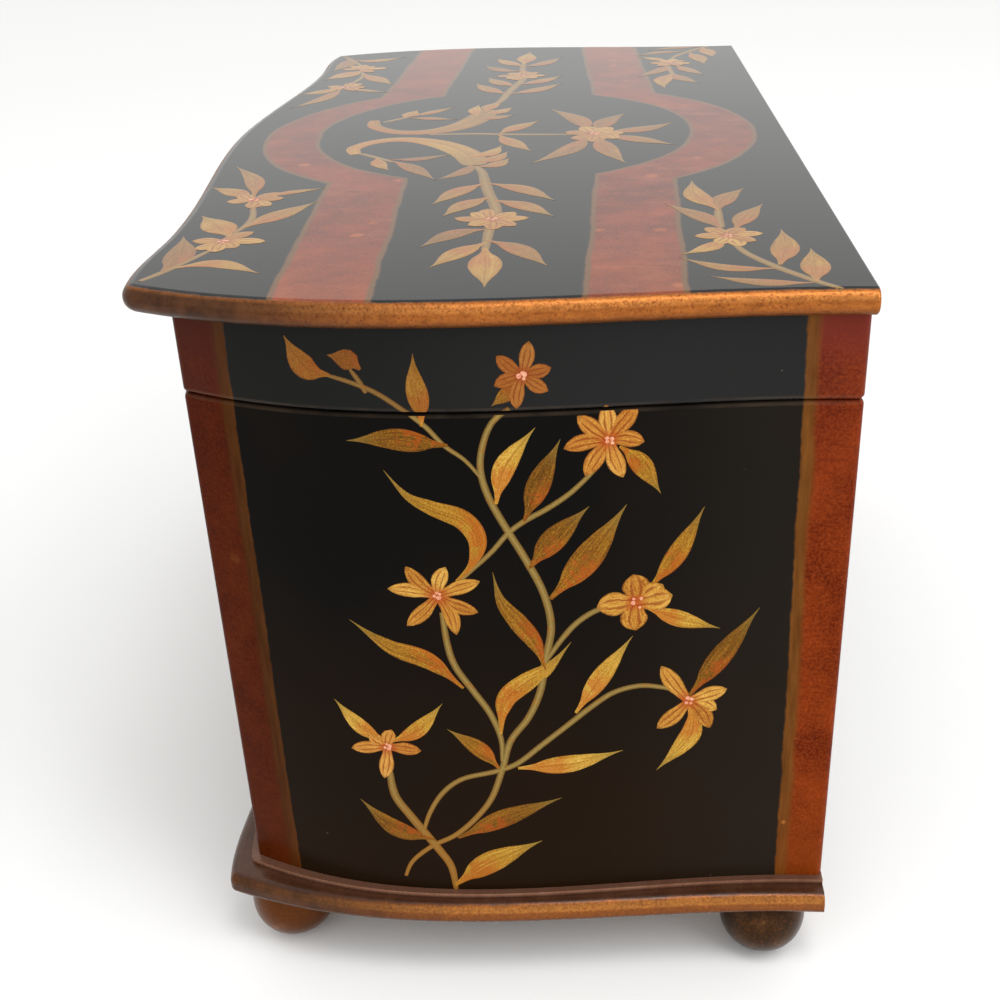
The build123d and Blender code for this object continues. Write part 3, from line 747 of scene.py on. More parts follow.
def brush_tree(name):
    """Turns each thread into a stroke of paint: thin, flat and as wide as its kind has it."""
    bench, given = start_tree(
        name, {"Step": ("Float", 1.3 * MM), "Sides": ("Int", 8), "Thickness": ("Float", 0.05 * MM)}
    )
    curve = bench.node("GeometryNodeMeshToCurve", Mesh=given["Geometry"])
    curve = bench.node("GeometryNodeCurveSplineType", {"spline_type": "CATMULL_ROM"}, Curve=curve)
    curve = bench.node("GeometryNodeSetSplineResolution", Geometry=curve, Resolution=12)
    curve = bench.node("GeometryNodeResampleCurve", {"mode": "LENGTH"}, Curve=curve, Length=given["Step"])
    along, width, kind, lift = (bench.named(key) for key in ("along", "width", "kind", "lift"))
    shapes = {
        STEM: [(0, 0.7), (0.3, 1.0), (0.8, 0.85), (1, 0.5)],
        LEAF: [
            (0, 0.14), (0.12, 0.3), (0.3, 0.86), (0.44, 1.0), (0.62, 0.8), (0.8, 0.36), (0.92, 0.11),
            (1, 0.02),
        ],
        PETAL: [(0, 0.45), (0.3, 0.72), (0.58, 1.0), (0.82, 0.74), (0.95, 0.3), (1, 0.06)],
        HORN: [(0, 0.34), (0.06, 0.44), (0.3, 0.56), (0.7, 0.95), (0.92, 0.9), (1, 0.4)],
    }
    shape = 0.0
    for number, points in shapes.items():
        share = kind.over(number - 0.5) * (1 - kind.over(number + 0.5))
        shape = share * bench.node("ShaderNodeFloatCurve", {"curve": points}, Value=along) + shape
    circle = bench.node("GeometryNodeCurvePrimitiveCircle", Resolution=given["Sides"], Radius=1.0)
    parts = bench.parts(bench.node("GeometryNodeInputPosition"))
    circle = bench.store(circle, "across", parts.out("X"))
    circle = bench.store(circle, "rise", parts.out("Y"))
    body = bench.node(
        "GeometryNodeCurveToMesh",
        Curve=curve, Profile_Curve=circle, Scale=width * shape * 0.5, Fill_Caps=True,
    )
    flat = bench.join(parts.out("X"), parts.out("Y"), lift + bench.named("rise") * given["Thickness"])
    body = bench.node("GeometryNodeSetPosition", Geometry=body, Position=flat)
    body = bench.node("GeometryNodeSetShadeSmooth", Geometry=body, Shade_Smooth=False)
    return end_tree(bench, body, given)


def heart_tree(name):
    """Sets a flat drop of paint on every point, each a little different in size."""
    bench, given = start_tree(
        name, {"Height": ("Float", 0.05 * MM), "Uneven": ("Float", 0.2), "Seed": ("Int", 5)}
    )
    drop = bench.node("GeometryNodeMeshIcoSphere", Radius=1.0, Subdivisions=2)
    chance = bench.node("FunctionNodeRandomValue", Min=-1.0, Max=1.0, Seed=given["Seed"])
    size = bench.named("size") * (1 + chance * given["Uneven"])
    drops = bench.node(
        "GeometryNodeInstanceOnPoints",
        Points=given["Geometry"], Instance=drop, Scale=bench.join(size, size, given["Height"]),
    )
    return end_tree(bench, drops, given)


def copies_tree(name):
    """Sets a copy of one piece at every point, turned about y by chance."""
    bench, given = start_tree(
        name, {"Copied": ("Object", None), "Most turn": ("Float", 0.0), "Seed": ("Int", 3)}
    )
    turn = bench.node("FunctionNodeRandomValue", Min=0.0, Max=given["Most turn"], Seed=given["Seed"])
    turned = bench.node("FunctionNodeEulerToRotation", Euler=bench.join(0.0, turn, 0.0))
    copies = bench.node(
        "GeometryNodeInstanceOnPoints",
        Points=given["Geometry"], Instance=bench.shape_of(given["Copied"]), Rotation=turned,
    )
    return end_tree(bench, copies, given)


def lay_tree(name):
    """Lays flat paint on a panel by dropping each point on it along a ray."""
    bench, given = start_tree(
        name,
        {
            "Panel": ("Object", None),
            "Origin": ("Vector", (0, 0, 0)),
            "Across": ("Vector", (1, 0, 0)),
            "Up": ("Vector", (0, 0, 1)),
            "Outward": ("Vector", (0, -1, 0)),
        },
    )
    parts = bench.parts(bench.node("GeometryNodeInputPosition"))
    start = given["Origin"]
    for axis, part in (("Across", "X"), ("Up", "Y")):
        start = bench.vector("ADD", start, bench.vector("SCALE", given[axis], Scale=parts.out(part)))
    hit = bench.node(
        "GeometryNodeRaycast",
        Target_Geometry=bench.shape_of(given["Panel"]),
        Source_Position=start,
        Ray_Direction=bench.vector("SCALE", given["Outward"], Scale=-1.0),
        Ray_Length=0.2,
    )
    lift = bench.vector("SCALE", hit.out("Hit Normal"), Scale=parts.out("Z"))
    laid = bench.vector("ADD", hit.out("Hit Position"), lift)
    body = bench.node("GeometryNodeSetPosition", Geometry=given["Geometry"], Position=laid)
    return end_tree(bench, body, given)


TREES = {
    "Brush strokes": brush_tree,
    "Flower hearts": heart_tree,
    "Copies": copies_tree,
    "Lay on panel": lay_tree,
}


def work_tree(piece, name, **inputs):
    """Runs a tree, made the first time it is asked for, and leaves its result as a plain mesh."""
    tree = bpy.data.node_groups.get(name) or TREES[name](name)
    worker = piece.modifiers.new(name, "NODES")
    worker.node_group = tree
    for item in tree.interface.items_tree:
        key = item.name.replace(" ", "_").lower()
        if item.in_out == "INPUT" and key in inputs:
            worker[item.identifier] = inputs[key]
    apply_modifiers(piece)
    return piece


def apply_modifiers(piece):
    """Leaves what a piece's modifiers make as its plain mesh."""
    bpy.context.view_layer.update()
    evaluated = piece.evaluated_get(bpy.context.evaluated_depsgraph_get())
    made = bpy.data.meshes.new_from_object(evaluated)
    old, name = piece.data, piece.data.name
    piece.modifiers.clear()
    piece.data = made
    bpy.data.meshes.remove(old)
    made.name = name


@contextmanager
def reshaping(mesh):
    """Opens a mesh to be changed, and writes the changes back."""
    shape = bmesh.new()
    shape.from_mesh(mesh)
    yield shape
    shape.to_mesh(mesh)
    shape.free()


def slice_at(shape, up, **cleared):
    """Cuts flat paint across at a height."""
    return bmesh.ops.bisect_plane(
        shape,
        geom=shape.verts[:] + shape.edges[:] + shape.faces[:],
        dist=1e-7,
        plane_co=(0, up * MM, 0),
        plane_no=(0, 1, 0),
        **cleared,
    )["geom_cut"]


def part_at_seam(piece, seam, keep_above, steps):
    """Keeps flat paint above or below a seam, and scores it so that it bends there over a rounded edge."""
    with reshaping(piece.data) as shape:
        cut = slice_at(shape, seam, clear_inner=keep_above, clear_outer=not keep_above)
        edges = [e for e in cut if isinstance(e, bmesh.types.BMEdge)]
        if edges:
            bmesh.ops.holes_fill(shape, edges=edges, sides=0)
    with reshaping(piece.data) as shape:
        for step in steps:
            slice_at(shape, seam + step)


FACES = {
    "right": {"origin": (0.26, 0, 0), "across": (0, 1, 0), "up": (0, 0, 1), "outward": (1, 0, 0)},
    "left": {"origin": (-0.26, 0, 0), "across": (0, 1, 0), "up": (0, 0, 1), "outward": (-1, 0, 0)},
    "front": {"origin": (0, -0.16, 0), "across": (1, 0, 0), "up": (0, 0, 1), "outward": (0, -1, 0)},
    "top": {"origin": (0, 0, 0.3), "across": (1, 0, 0), "up": (0, 1, 0), "outward": (0, 0, 1)},
}


def paint_panel(brush, name, face, panel, body, finishes, seam=None):
    """Paints a brush's strokes and flower hearts on one panel of the chest."""
    thick = bpy.context.scene.chest_paint.paint_height
    strokes = work_tree(brush.drawing(name), "Brush strokes", thickness=thick, paint=finishes[0])
    hearts = work_tree(brush.dotting(name + "_hearts"), "Flower hearts", paint=finishes[1])
    for piece, finish in zip((strokes, hearts), finishes):
        if seam:
            part_at_seam(piece, *seam)
        if not piece.data.polygons:
            bpy.data.objects.remove(piece)
            continue
        work_tree(piece, "Lay on panel", panel=nodes[panel], paint=finish, **FACES[face])
        with reshaping(piece.data) as shape:
            bmesh.ops.recalc_face_normals(shape, faces=shape.faces)
        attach(piece, body)


def end_vine():
    """The vine on the ends: stems that cross, long pointed leaves and six flowers."""
    vine = Brush(11)
    vine.stem(
        1.6, (-45, 223), (-38, 221), (-31, 218), (-24, 213), (-18, 208), (-13, 202), (-7, 197), (-2, 190)
    )
    vine.stem(
        2.4, (6, 213), (1, 209), (-2, 202), (-3, 194), (-1, 185), (4, 174), (9, 164), (14, 152), (16, 140),
        (14, 128), (12, 116), (8, 106), (2, 97), (-1, 86), (-5, 74), (-11, 65), (-18, 58), (-26, 53),
        (-33, 46), (-36, 39),
    )
    vine.stem(1.8, (30, 193), (23, 186), (16, 181), (9, 177), (4, 173), (-1, 167), (-7, 161), (-11, 157))
    vine.stem(2.3, (-17, 146), (-16, 134), (-14, 126), (-9, 117), (-4, 108), (-1, 98), (-1, 89))
    vine.stem(3.1, (-38, 84), (-37, 74), (-32, 65), (-24, 52), (-20, 44), (-19, 34))
    vine.stem(2.0, (36, 146), (30, 145), (24, 141), (19, 135), (14, 127))
    vine.stem(
        2.1, (56, 113), (50, 115), (43, 116), (35, 114), (28, 109), (20, 102), (12, 95), (4, 88), (-3, 85),
        (-14, 82), (-21, 76), (-26, 67), (-29, 57),
    )
    vine.warm = 0.8
    vine.leaf(7.4, (-44, 223), (-51, 225), (-56, 234))
    vine.leaf(6.4, (-35, 225), (-38, 227.6), (-44, 229))
    vine.stem(1.6, (-34, 218), (-36, 222), (-38, 225))
    vine.warm = 0.45
    vine.leaf(6.2, (-19, 208), (-19, 214), (-20, 222), (-20, 230))
    vine.warm = 0.0
    for leaf in (
        (7.0, (-12, 202), (-20, 203), (-29, 204), (-41, 203)), (6.4, (1, 183), (4, 195), (13, 207)),
        (6.4, (-12, 157), (-7, 163), (-5, 171), (-9, 178), (-18, 182), (-25, 186), (-31, 194)),
        (7.0, (9, 177), (14, 190), (20, 203)), (7.6, (10, 161), (17, 170), (28, 181)),
        (9.0, (16, 150), (27, 163), (39, 181)), (6.2, (46, 152), (54, 163), (62, 179)),
        (4.4, (9, 220), (1, 214)), (6.2, (37, 200), (43, 194), (49, 184)),
        (6.6, (-12, 118), (-22, 128), (-34, 133), (-46, 142)), (5.8, (-38, 96), (-46, 101), (-54, 111)),
        (5.6, (-37, 96), (-28, 101), (-19, 112)), (5.8, (-2, 86), (-8, 94), (-18, 102)),
        (6.0, (14, 124), (11, 134), (6, 142), (1, 150), (-1, 160)),
        (7.0, (-1, 100), (1, 113), (8, 120), (15, 125), (22, 134)), (5.8, (45, 145), (56, 140), (68, 136)),
        (6.4, (23, 107), (31, 120), (41, 135)), (7.2, (59, 111), (69, 126), (80, 143)),
        (7.0, (59, 108), (60, 96), (49, 82)), (7.0, (4, 86), (22, 87), (38, 91)),
        (7.2, (-17, 57), (-2, 65), (18, 73)), (9.0, (-19, 36), (-7, 46), (11, 55)),
        (7.0, (-25, 56), (-38, 60), (-49, 71)),
    ):
        vine.leaf(*leaf)
    vine.warm = 0.95
    vine.flower((10, 223), 4.4, (12, 233), (3, 229), (2, 220), (8, 213), (17, 218), (18, 225))
    vine.warm = 0.35
    vine.flower((34, 202), 5.4, (33, 213), (42, 212), (44, 201), (38, 190), (27, 191), (21, 200), (25, 210))
    vine.warm = 0.0
    vine.flower(
        (-18, 152), 5.0, (-33, 154), (-27, 162), (-15, 162), (-5, 157), (-6, 146), (-13, 138), (-28, 141)
    )
    vine.flower((42, 147), 8.6, (41, 157), (30, 146), (42, 137), (53, 149), (50, 153))
    vine.flower((59, 109), 5.8, (50, 123), (49, 99), (66, 98), (71, 113), (68, 105))
    vine.warm = 0.5
    vine.flower((-38, 94), 5.0, (-50, 92), (-27, 93), (-40, 81), (-36, 101), (-44, 98))
    return vine


def top_front_spray():
    """The spray in the lid's front corner."""
    spray = Brush(21)
    spray.stem(2.6, (184, -98), (177, -94), (168, -90), (156, -85))
    spray.stem(2.4, (138, -82), (130, -80), (120, -80), (106, -83))
    for leaf in (
        (7.0, (173, -92), (169, -80), (179, -65)), (9.0, (176, -94), (159, -93), (141, -97)),
        (11.0, (142, -82), (130, -89), (118, -97)), (9.0, (132, -80), (117, -71), (103, -62)),
        (8.0, (97, -86), (88, -94), (82, -103)), (7.0, (95, -85), (72, -90), (52, -101)),
        (4.6, (96, -82), (90, -73), (85, -62)),
    ):
        spray.leaf(*leaf)
    spray.flower((147, -83), 6.4, (146, -93), (137, -76), (148, -70), (158, -83), (154, -78), (155, -90))
    spray.flower((99, -84), 6.4, (101, -93), (110, -83), (98, -74), (90, -77), (107, -77), (92, -90))
    return spray


def top_back_spray():
    """The spray in the lid's back corner."""
    spray = Brush(22)
    spray.stem(3.0, (199, 97), (195, 93), (190, 89), (180, 82), (167, 75), (156, 72))
    spray.stem(3.0, (140, 70), (130, 70), (118, 71))
    spray.leaves(5.6, ((194, 90), (193, 76), (187, 62)), ((181, 82), (180, 68), (170, 55)))
    spray.leaves(
        8.6, ((193, 91), (178, 93), (163, 94)), ((178, 83), (160, 87), (143, 88)),
        ((120, 71), (102, 65), (83, 65)),
    )
    spray.leaf(8.0, (120, 71), (107, 74), (94, 82))
    spray.leaves(7.4, ((142, 70), (128, 65), (112, 54)), ((142, 74), (128, 79), (114, 86)))
    spray.leaf(6.4, (152, 69), (160, 65), (167, 56))
    spray.flower((149, 71), 6.2, (149, 61), (147, 82), (141, 77), (157, 67), (160, 74), (140, 65), (155, 79))
    return spray


def top_middle():
    """The middle of the lid: two curls back to back, a large flower and a leafy spray each way."""
    middle = Brush(23)
    middle.horn(12.0, (36, -59), (26, -61), (16, -55), (12, -45), (16, -34), (26, -24), (40, -16), (56, -12))
    middle.leaves(
        7.0, ((44, -18), (38, -8), (25, -4)), ((52, -14), (47, -6), (35, -1)), ((58, -12), (56, -5), (46, 0))
    )
    middle.leaf(6.0, (54, -13), (66, -16), (77, -25))
    middle.leaf(7.0, (47, -44), (57, -36), (76, -25))
    middle.leaf(5.4, (45, -45), (45, -34), (38, -22))
    middle.leaf(6.0, (42, -50), (52, -48), (62, -43))
    middle.stem(2.6, (35, -57), (42, -50), (49, -43))
    middle.horn(
        12.0, (-24, -60), (-12, -58), (-2, -49), (0, -38), (-5, -28), (-14, -21), (-27, -16), (-42, -13)
    )
    middle.leaves(
        7.0, ((-24, -17), (-26, -9), (-31, -1)), ((-32, -15), (-38, -8), (-47, -3)),
        ((-38, -14), (-48, -13), (-60, -8)),
    )
    middle.leaf(6.0, (-30, -17), (-40, -19), (-53, -18))
    middle.leaf(7.0, (-28, -48), (-36, -46), (-44, -44))
    middle.leaves(5.4, ((-31, -45), (-38, -38), (-49, -28)), ((-28, -46), (-26, -36), (-23, -25)))
    middle.stem(2.6, (-20, -56), (-25, -51), (-31, -46))
    middle.stem(3.0, (4, -34), (4, -16), (6, -2), (8, 24))
    middle.leaves(8.0, ((5, -6), (-7, 1), (-19, 10)), ((7, -6), (19, -1), (36, 8)))
    heart = Vector((7, 32))
    for tip in ((-42, 13), (-31, 46), (-11, 65), (29, 63), (57, 43), (55, 8)):
        middle.leaf(9.0, heart.lerp(Vector(tip), 0.1), tip)
    middle.flower(heart, 8.5, (-6, 27), (-4, 39), (6, 44), (17, 41), (22, 31), (17, 23), (4, 20), dots=6)
    for way in (1, -1):
        spray = Brush(24)
        spray.stem(4.0, (57, -12), (66, -9), (80, -7), (94, -5), (118, -1), (140, -2), (162, -2))
        spray.leaves(
            8.0, ((82, -7), (92, -15), (109, -23)), ((100, -4), (110, -12), (123, -18)),
            ((82, -6), (90, 6), (106, 18)), ((104, -3), (111, 7), (125, 18)),
            ((138, -2), (142, -12), (156, -22)), ((152, -2), (161, -9), (176, -17)),
            ((150, -2), (158, 7), (176, 17)),
        )
        spray.leaf(10.0, (158, -2), (176, -1), (194, 0))
        spray.flower(
            (127, -2), 6.4, (125, -14), (126, 10), (115, -4), (139, -1), (119, 5), (119, -9), (135, 6),
            (134, -9),
        )
        spray.copy_to(middle, scale=(way, 1), shift=(0 if way > 0 else 6, 0))
    return middle


def tips_round(heart, reach, *turns):
    """The tips of a flower's petals, as far from its heart as the reach."""
    return [(heart[0] + reach * math.cos(a), heart[1] + reach * math.sin(a)) for a in turns]


def front_spray(reach):
    """A vine that runs out to one side of a front, with leaves on both sides and a flower."""
    spray = Brush(31)
    spray.stem(2.2, (2, 0), (reach * 0.25, 4), (reach * 0.5, 0), (reach * 0.75, -3), (reach, 1))
    for share, rise in ((0.12, 1), (0.22, -1), (0.34, 1), (0.66, -1), (0.76, 1), (0.88, -1)):
        x, y = reach * share, 3 * math.sin(share * 6.3)
        spray.leaf(4.6, (x, y), (x + 9, y + rise * 5), (x + 17, y + rise * 9))
    spray.leaf(5.2, (reach - 2, 1), (reach + 8, 3), (reach + 16, -1))
    heart = (reach * 0.5, 0)
    spray.flower(heart, 4.6, *tips_round(heart, 9, 0.4, 1.5, 2.6, 3.7, 4.7, 5.7))
    return spray


def sprig():
    """A small flower between leaves, for the ends of a front."""
    small = Brush(51)
    small.stem(1.6, (-20, 3), (-12, 0), (-5, 0), (6, 0), (14, 0), (21, -3))
    for way in (1, -1):
        small.leaf(4.2, (way * 8, 0), (way * 13, way * 4), (way * 18, way * 9))
        small.leaf(4.2, (way * 12, 0), (way * 18, way * -4), (way * 25, way * -8))
    small.flower((0, 0), 4.4, *tips_round((0, 0), 8, 0.2, 1.3, 2.5, 3.6, 4.9))
    return small


class ChestPaint(bpy.types.PropertyGroup):
    """The main paints, and where the bands and stripes lie."""

    lacquer: FloatVectorProperty(
        name="Lacquer", description="The black of the case and the lid", default=linear((13, 12, 11)),
        size=4, subtype="COLOR",
    )
    red: FloatVectorProperty(
        name="Red", description="The brighter red of the bands and stripes", default=linear((134, 52, 14)),
        size=4, subtype="COLOR",
    )
    olive: FloatVectorProperty(
        name="Olive", description="The line beside the red stripes", default=linear((126, 78, 32)),
        size=4, subtype="COLOR",
    )
    gilding: FloatVectorProperty(
        name="Gilding", description="The ground of the gilded rim and of the mirror's frame",
        default=linear((150, 82, 30)), size=4, subtype="COLOR",
    )

    front_stripe: FloatProperty(
        name="Front stripe", description="From the middle to the stripe at an end's front", default=0.0745,
        unit="LENGTH",
    )
    back_stripe: FloatProperty(
        name="Back stripe", description="From the middle to the stripe at an end's back", default=0.0898,
        unit="LENGTH",
    )
    band_inner: FloatProperty(
        name="Band's inner edge", description="From the lid's middle line to a band", default=0.0285,
        unit="LENGTH",
    )
    band_outer: FloatProperty(
        name="Band's outer edge", description="From the lid's middle line to a band's far edge",
        default=0.0575, unit="LENGTH",
    )
    ring_outer: FloatProperty(
        name="Ring's radius", description="The outer radius of the ring that the bands swell into",
        default=0.098, unit="LENGTH",
    )
    paint_height: FloatProperty(
        name="Paint thickness", description="How far the brushwork stands up", default=0.00005,
        unit="LENGTH", precision=5,
    )


class ChestFittings(bpy.types.PropertyGroup):
    """The colours of wood, velvet and brass, and sizes of the ring rolls and screws."""

    wood: FloatVectorProperty(
        name="Wood", description="The pale rings of the bare wood", default=linear((176, 130, 86)), size=4,
        subtype="COLOR",
    )
    velvet: FloatVectorProperty(
        name="Velvet", description="The velvet of the linings and the ring cushion",
        default=linear((86, 14, 20)), size=4, subtype="COLOR",
    )
    brass: FloatVectorProperty(
        name="Brass", description="The brass of the knobs, hinges and screws",
        default=linear((204, 168, 104)), size=4, subtype="COLOR",
    )

    rolls: IntProperty(name="Ring rolls", description="How many rolls hold rings", default=12)
    slot: FloatProperty(
        name="Slot", description="The gap between two rolls", default=0.0008, unit="LENGTH", precision=4
    )
    base_height: FloatProperty(
        name="Base", description="The height of the board under the rolls", default=0.0066, unit="LENGTH"
    )
    screw_slot: FloatProperty(
        name="Screw slot", description="The width of a screw's slot", default=0.0006, unit="LENGTH",
        precision=4,
    )


class ChestStage(bpy.types.PropertyGroup):
    """The floor, lights and camera."""

    floor_size: FloatProperty(
        name="Floor", description="The side of the square floor", default=14.0, unit="LENGTH"
    )
    floor_colour: FloatVectorProperty(
        name="Floor colour", description="The pale colour of the floor", default=(0.95, 0.95, 0.945, 1),
        size=4, subtype="COLOR",
    )
    sky: FloatProperty(name="Sky", description="The strength of the soft light all round", default=0.95)
    key: FloatProperty(
        name="Key light", description="The power of the large light at the back and right", default=12.0,
        unit="POWER",
    )
    lens: FloatProperty(name="Lens", description="The camera's focal length", default=48.02, unit="CAMERA")


class CHEST_OT_stage(bpy.types.Operator):
    """Set up the floor, the soft light and the camera of the photograph"""

    bl_idname = "chest.stage"
    bl_label = "Stage"

    def execute(self, context):
        stage = context.scene.chest_stage
        half = stage.floor_size / 2
        mesh = bpy.data.meshes.new("floor")
        corners = [(-half, -half, 0), (half, -half, 0), (half, half, 0), (-half, half, 0)]
        mesh.from_pydata(corners, [], [(0, 1, 2, 3)])
        floor = new_piece("floor", mesh)
        pale = make_finish("pale floor", lambda *_: {}, Base_Color=stage.floor_colour, Roughness=0.9)
        mesh.materials.append(pale)
        world = bpy.data.worlds.new("soft light")
        world.use_nodes = True
        background = world.node_tree.nodes["Background"]
        background.inputs["Color"].default_value = (1.0, 1.0, 0.99, 1)
        background.inputs["Strength"].default_value = stage.sky
        context.scene.world = world
        context.scene.view_settings.view_transform = "Standard"
        for name, place, size, power in (
            ("key", (0.9, 1.3, 1.5), 1.2, stage.key),
            ("fill", (1.6, -0.9, 1.1), 1.4, stage.key * 0.15),
            ("overhead", (0.55, 0.25, 1.6), 0.5, stage.key * 0.4),
        ):
            light = bpy.data.lights.new(name, "AREA")
            light.size, light.energy = size, power
            lamp = new_piece(name, light)
            lamp.location = place
            lamp.rotation_euler = (Vector((0, 0, 0.1)) - Vector(place)).to_track_quat("-Z", "Y").to_euler()
        self.add_camera(context, stage)
        return {"FINISHED"}

    @staticmethod
    def add_camera(context, stage):
        """The camera as the photograph's perspective gives it, in metres and radians."""
        place = (0.5444, 0.0277, 0.3643)
        yaw, pitch, roll = 0.0193, 0.4809, -0.0209
        data = bpy.data.cameras.new("camera")
        data.lens, data.sensor_width = stage.lens, 36
        data.shift_x, data.shift_y = -0.0651, -0.0058
        data.clip_start, data.clip_end = 0.01, 50
        level_part = math.cos(pitch)
        forward = Vector((-math.cos(yaw) * level_part, -math.sin(yaw) * level_part, -math.sin(pitch)))
        level = forward.cross(Vector((0, 0, 1))).normalized()
        upright = level.cross(forward)
        right = math.cos(roll) * level + math.sin(roll) * upright
        above = -math.sin(roll) * level + math.cos(roll) * upright
        turn = Matrix((right, above, -forward)).transposed()
        camera = new_piece("camera", data)
        camera.matrix_world = Matrix.Translation(place) @ turn.to_4x4()
        context.scene.camera = camera


class CHEST_OT_lacquer(bpy.types.Operator):
    """Lacquer the case and the lid, with the red bands and corner stripes"""

    bl_idname = "chest.lacquer"
    bl_label = "Lacquer"

    def execute(self, context):
        ends = make_finish("striped lacquer", end_recipe, IOR=1.1)
        dress(ends, "end_panel_left", "end_panel_right")
        skirt_ends = make_finish("striped skirt lacquer", end_recipe, IOR=1.15)
        dress(skirt_ends, "lid_skirt_left", "lid_skirt_right")
        fronts = make_finish("plain lacquer", front_recipe, IOR=1.32)
        dress(fronts, "compartment_front", "lid_skirt_front", "back_panel", "lid_skirt_back")
        dress(fronts, *(f"drawer_{i}_front" for i in DRAWERS))
        dress(make_finish("banded lacquer", top_recipe, IOR=1.34), "lid_slab")
        return {"FINISHED"}


class CHEST_OT_gilding(bpy.types.Operator):
    """Gild the moulding, the feet and the mirror's frame"""

    bl_idname = "chest.gilding"
    bl_label = "Gilding"

    def execute(self, context):
        moulding = make_finish("gilded moulding", moulding_recipe)
        dress(moulding, "base_moulding_front", "base_moulding_left", "base_moulding_right")
        feet = make_finish("bronzed feet", foot_recipe, IOR=1.25, Metallic=0.5)
        dress(feet, "foot_front_left", "foot_front_right", "foot_back_left", "foot_back_right")
        dress(make_finish("gilded frame", frame_recipe, Metallic=0.35), "mirror_frame")
        return {"FINISHED"}


class CHEST_OT_woodwork(bpy.types.Operator):
    """Finish the bare wood of the drawers, boards and liners"""

    bl_idname = "chest.woodwork"
    bl_label = "Woodwork"

    def execute(self, context):
        across = make_finish("satin wood, grain across", wood_along_x)
        deep = make_finish("satin wood, grain front to back", wood_along_y)
        edged = make_finish("edged boards", rail_recipe)
        dress(across, "liner_back", "liner_front")
        dress(edged, "bottom_board", "compartment_floor", "divider_1", "divider_2")
        dress(deep, "liner_left", "liner_right")
        for i in DRAWERS:
            dress(across, f"drawer_{i}_back", f"drawer_{i}_bottom")
            dress(deep, f"drawer_{i}_side_left", f"drawer_{i}_side_right")
        return {"FINISHED"}


class CHEST_OT_linings(bpy.types.Operator):
    """Line the compartment and the lid with velvet, and put felt under the feet"""

    bl_idname = "chest.linings"
    bl_label = "Linings"

    def execute(self, context):
        dress(
            wine_velvet(), "compartment_lining", "lid_lining", "cell_wall_long", "cell_wall_ring_bay",
            "cell_walls_cross",
        )
        dress(make_finish("dark felt", felt_recipe, Roughness=0.95), "foot_pads")
        return {"FINISHED"}


def wine_velvet():
    """The velvet of the linings and the ring cushion."""
    return shared_finish("wine velvet", velvet_recipe, Sheen_Weight=0.6, Sheen_Roughness=0.4)


class CHEST_OT_ring_cushion(bpy.types.Operator):
    """Stuff the rolls that hold rings"""

    bl_idname = "chest.ring_cushion"
    bl_label = "Ring cushion"

    def execute(self, context):
        fittings = context.scene.chest_fittings
        low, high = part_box("ring_cushion")
        pitch = (high.y - low.y + fittings.slot) / fittings.rolls
        width = pitch - fittings.slot
        base_top = low.z + fittings.base_height
        roll = stuffed_roll(low.x + 0.0004, high.x - 0.0004, width, base_top, high.z)
        places = [(0, low.y + width / 2 + i * pitch, 0) for i in range(fittings.rolls)]
        cushion = thread_mesh("ring_cushion_rolls", places)
        work_tree(cushion, "Copies", copied=roll, paint=wine_velvet())
        with reshaping(cushion.data) as board:
            base = bmesh.ops.create_cube(board, size=1.0)["verts"]
            size = Vector((high.x - low.x, high.y - low.y, fittings.base_height))
            middle = (low + high) / 2 + Vector((0, 0, (base_top - high.z) / 2))
            bmesh.ops.scale(board, vec=size, verts=base)
            bmesh.ops.translate(board, vec=middle, verts=base)
            edges = list({e for v in base for e in v.link_edges})
            bmesh.ops.bevel(board, geom=edges, offset=0.001, segments=3, affect="EDGES")
        bpy.data.objects.remove(roll)
        for polygon in cushion.data.polygons:
            polygon.use_smooth = True
        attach(cushion, "carcass")
        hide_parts("ring_cushion")
        return {"FINISHED"}


def skin(shape, loops):
    """Joins rings of points by faces that point outwards. A ring may be one point, many times over."""
    for a, b in zip(loops, loops[1:]):
        for k in range(len(a)):
            after = (k + 1) % len(a)
            shape.faces.new(dict.fromkeys((a[k], b[k], b[after], a[after])))
    for end in (loops[0], loops[-1][::-1]):
        if end[0] is not end[1]:
            shape.faces.new(end)
    bmesh.ops.recalc_face_normals(shape, faces=shape.faces)


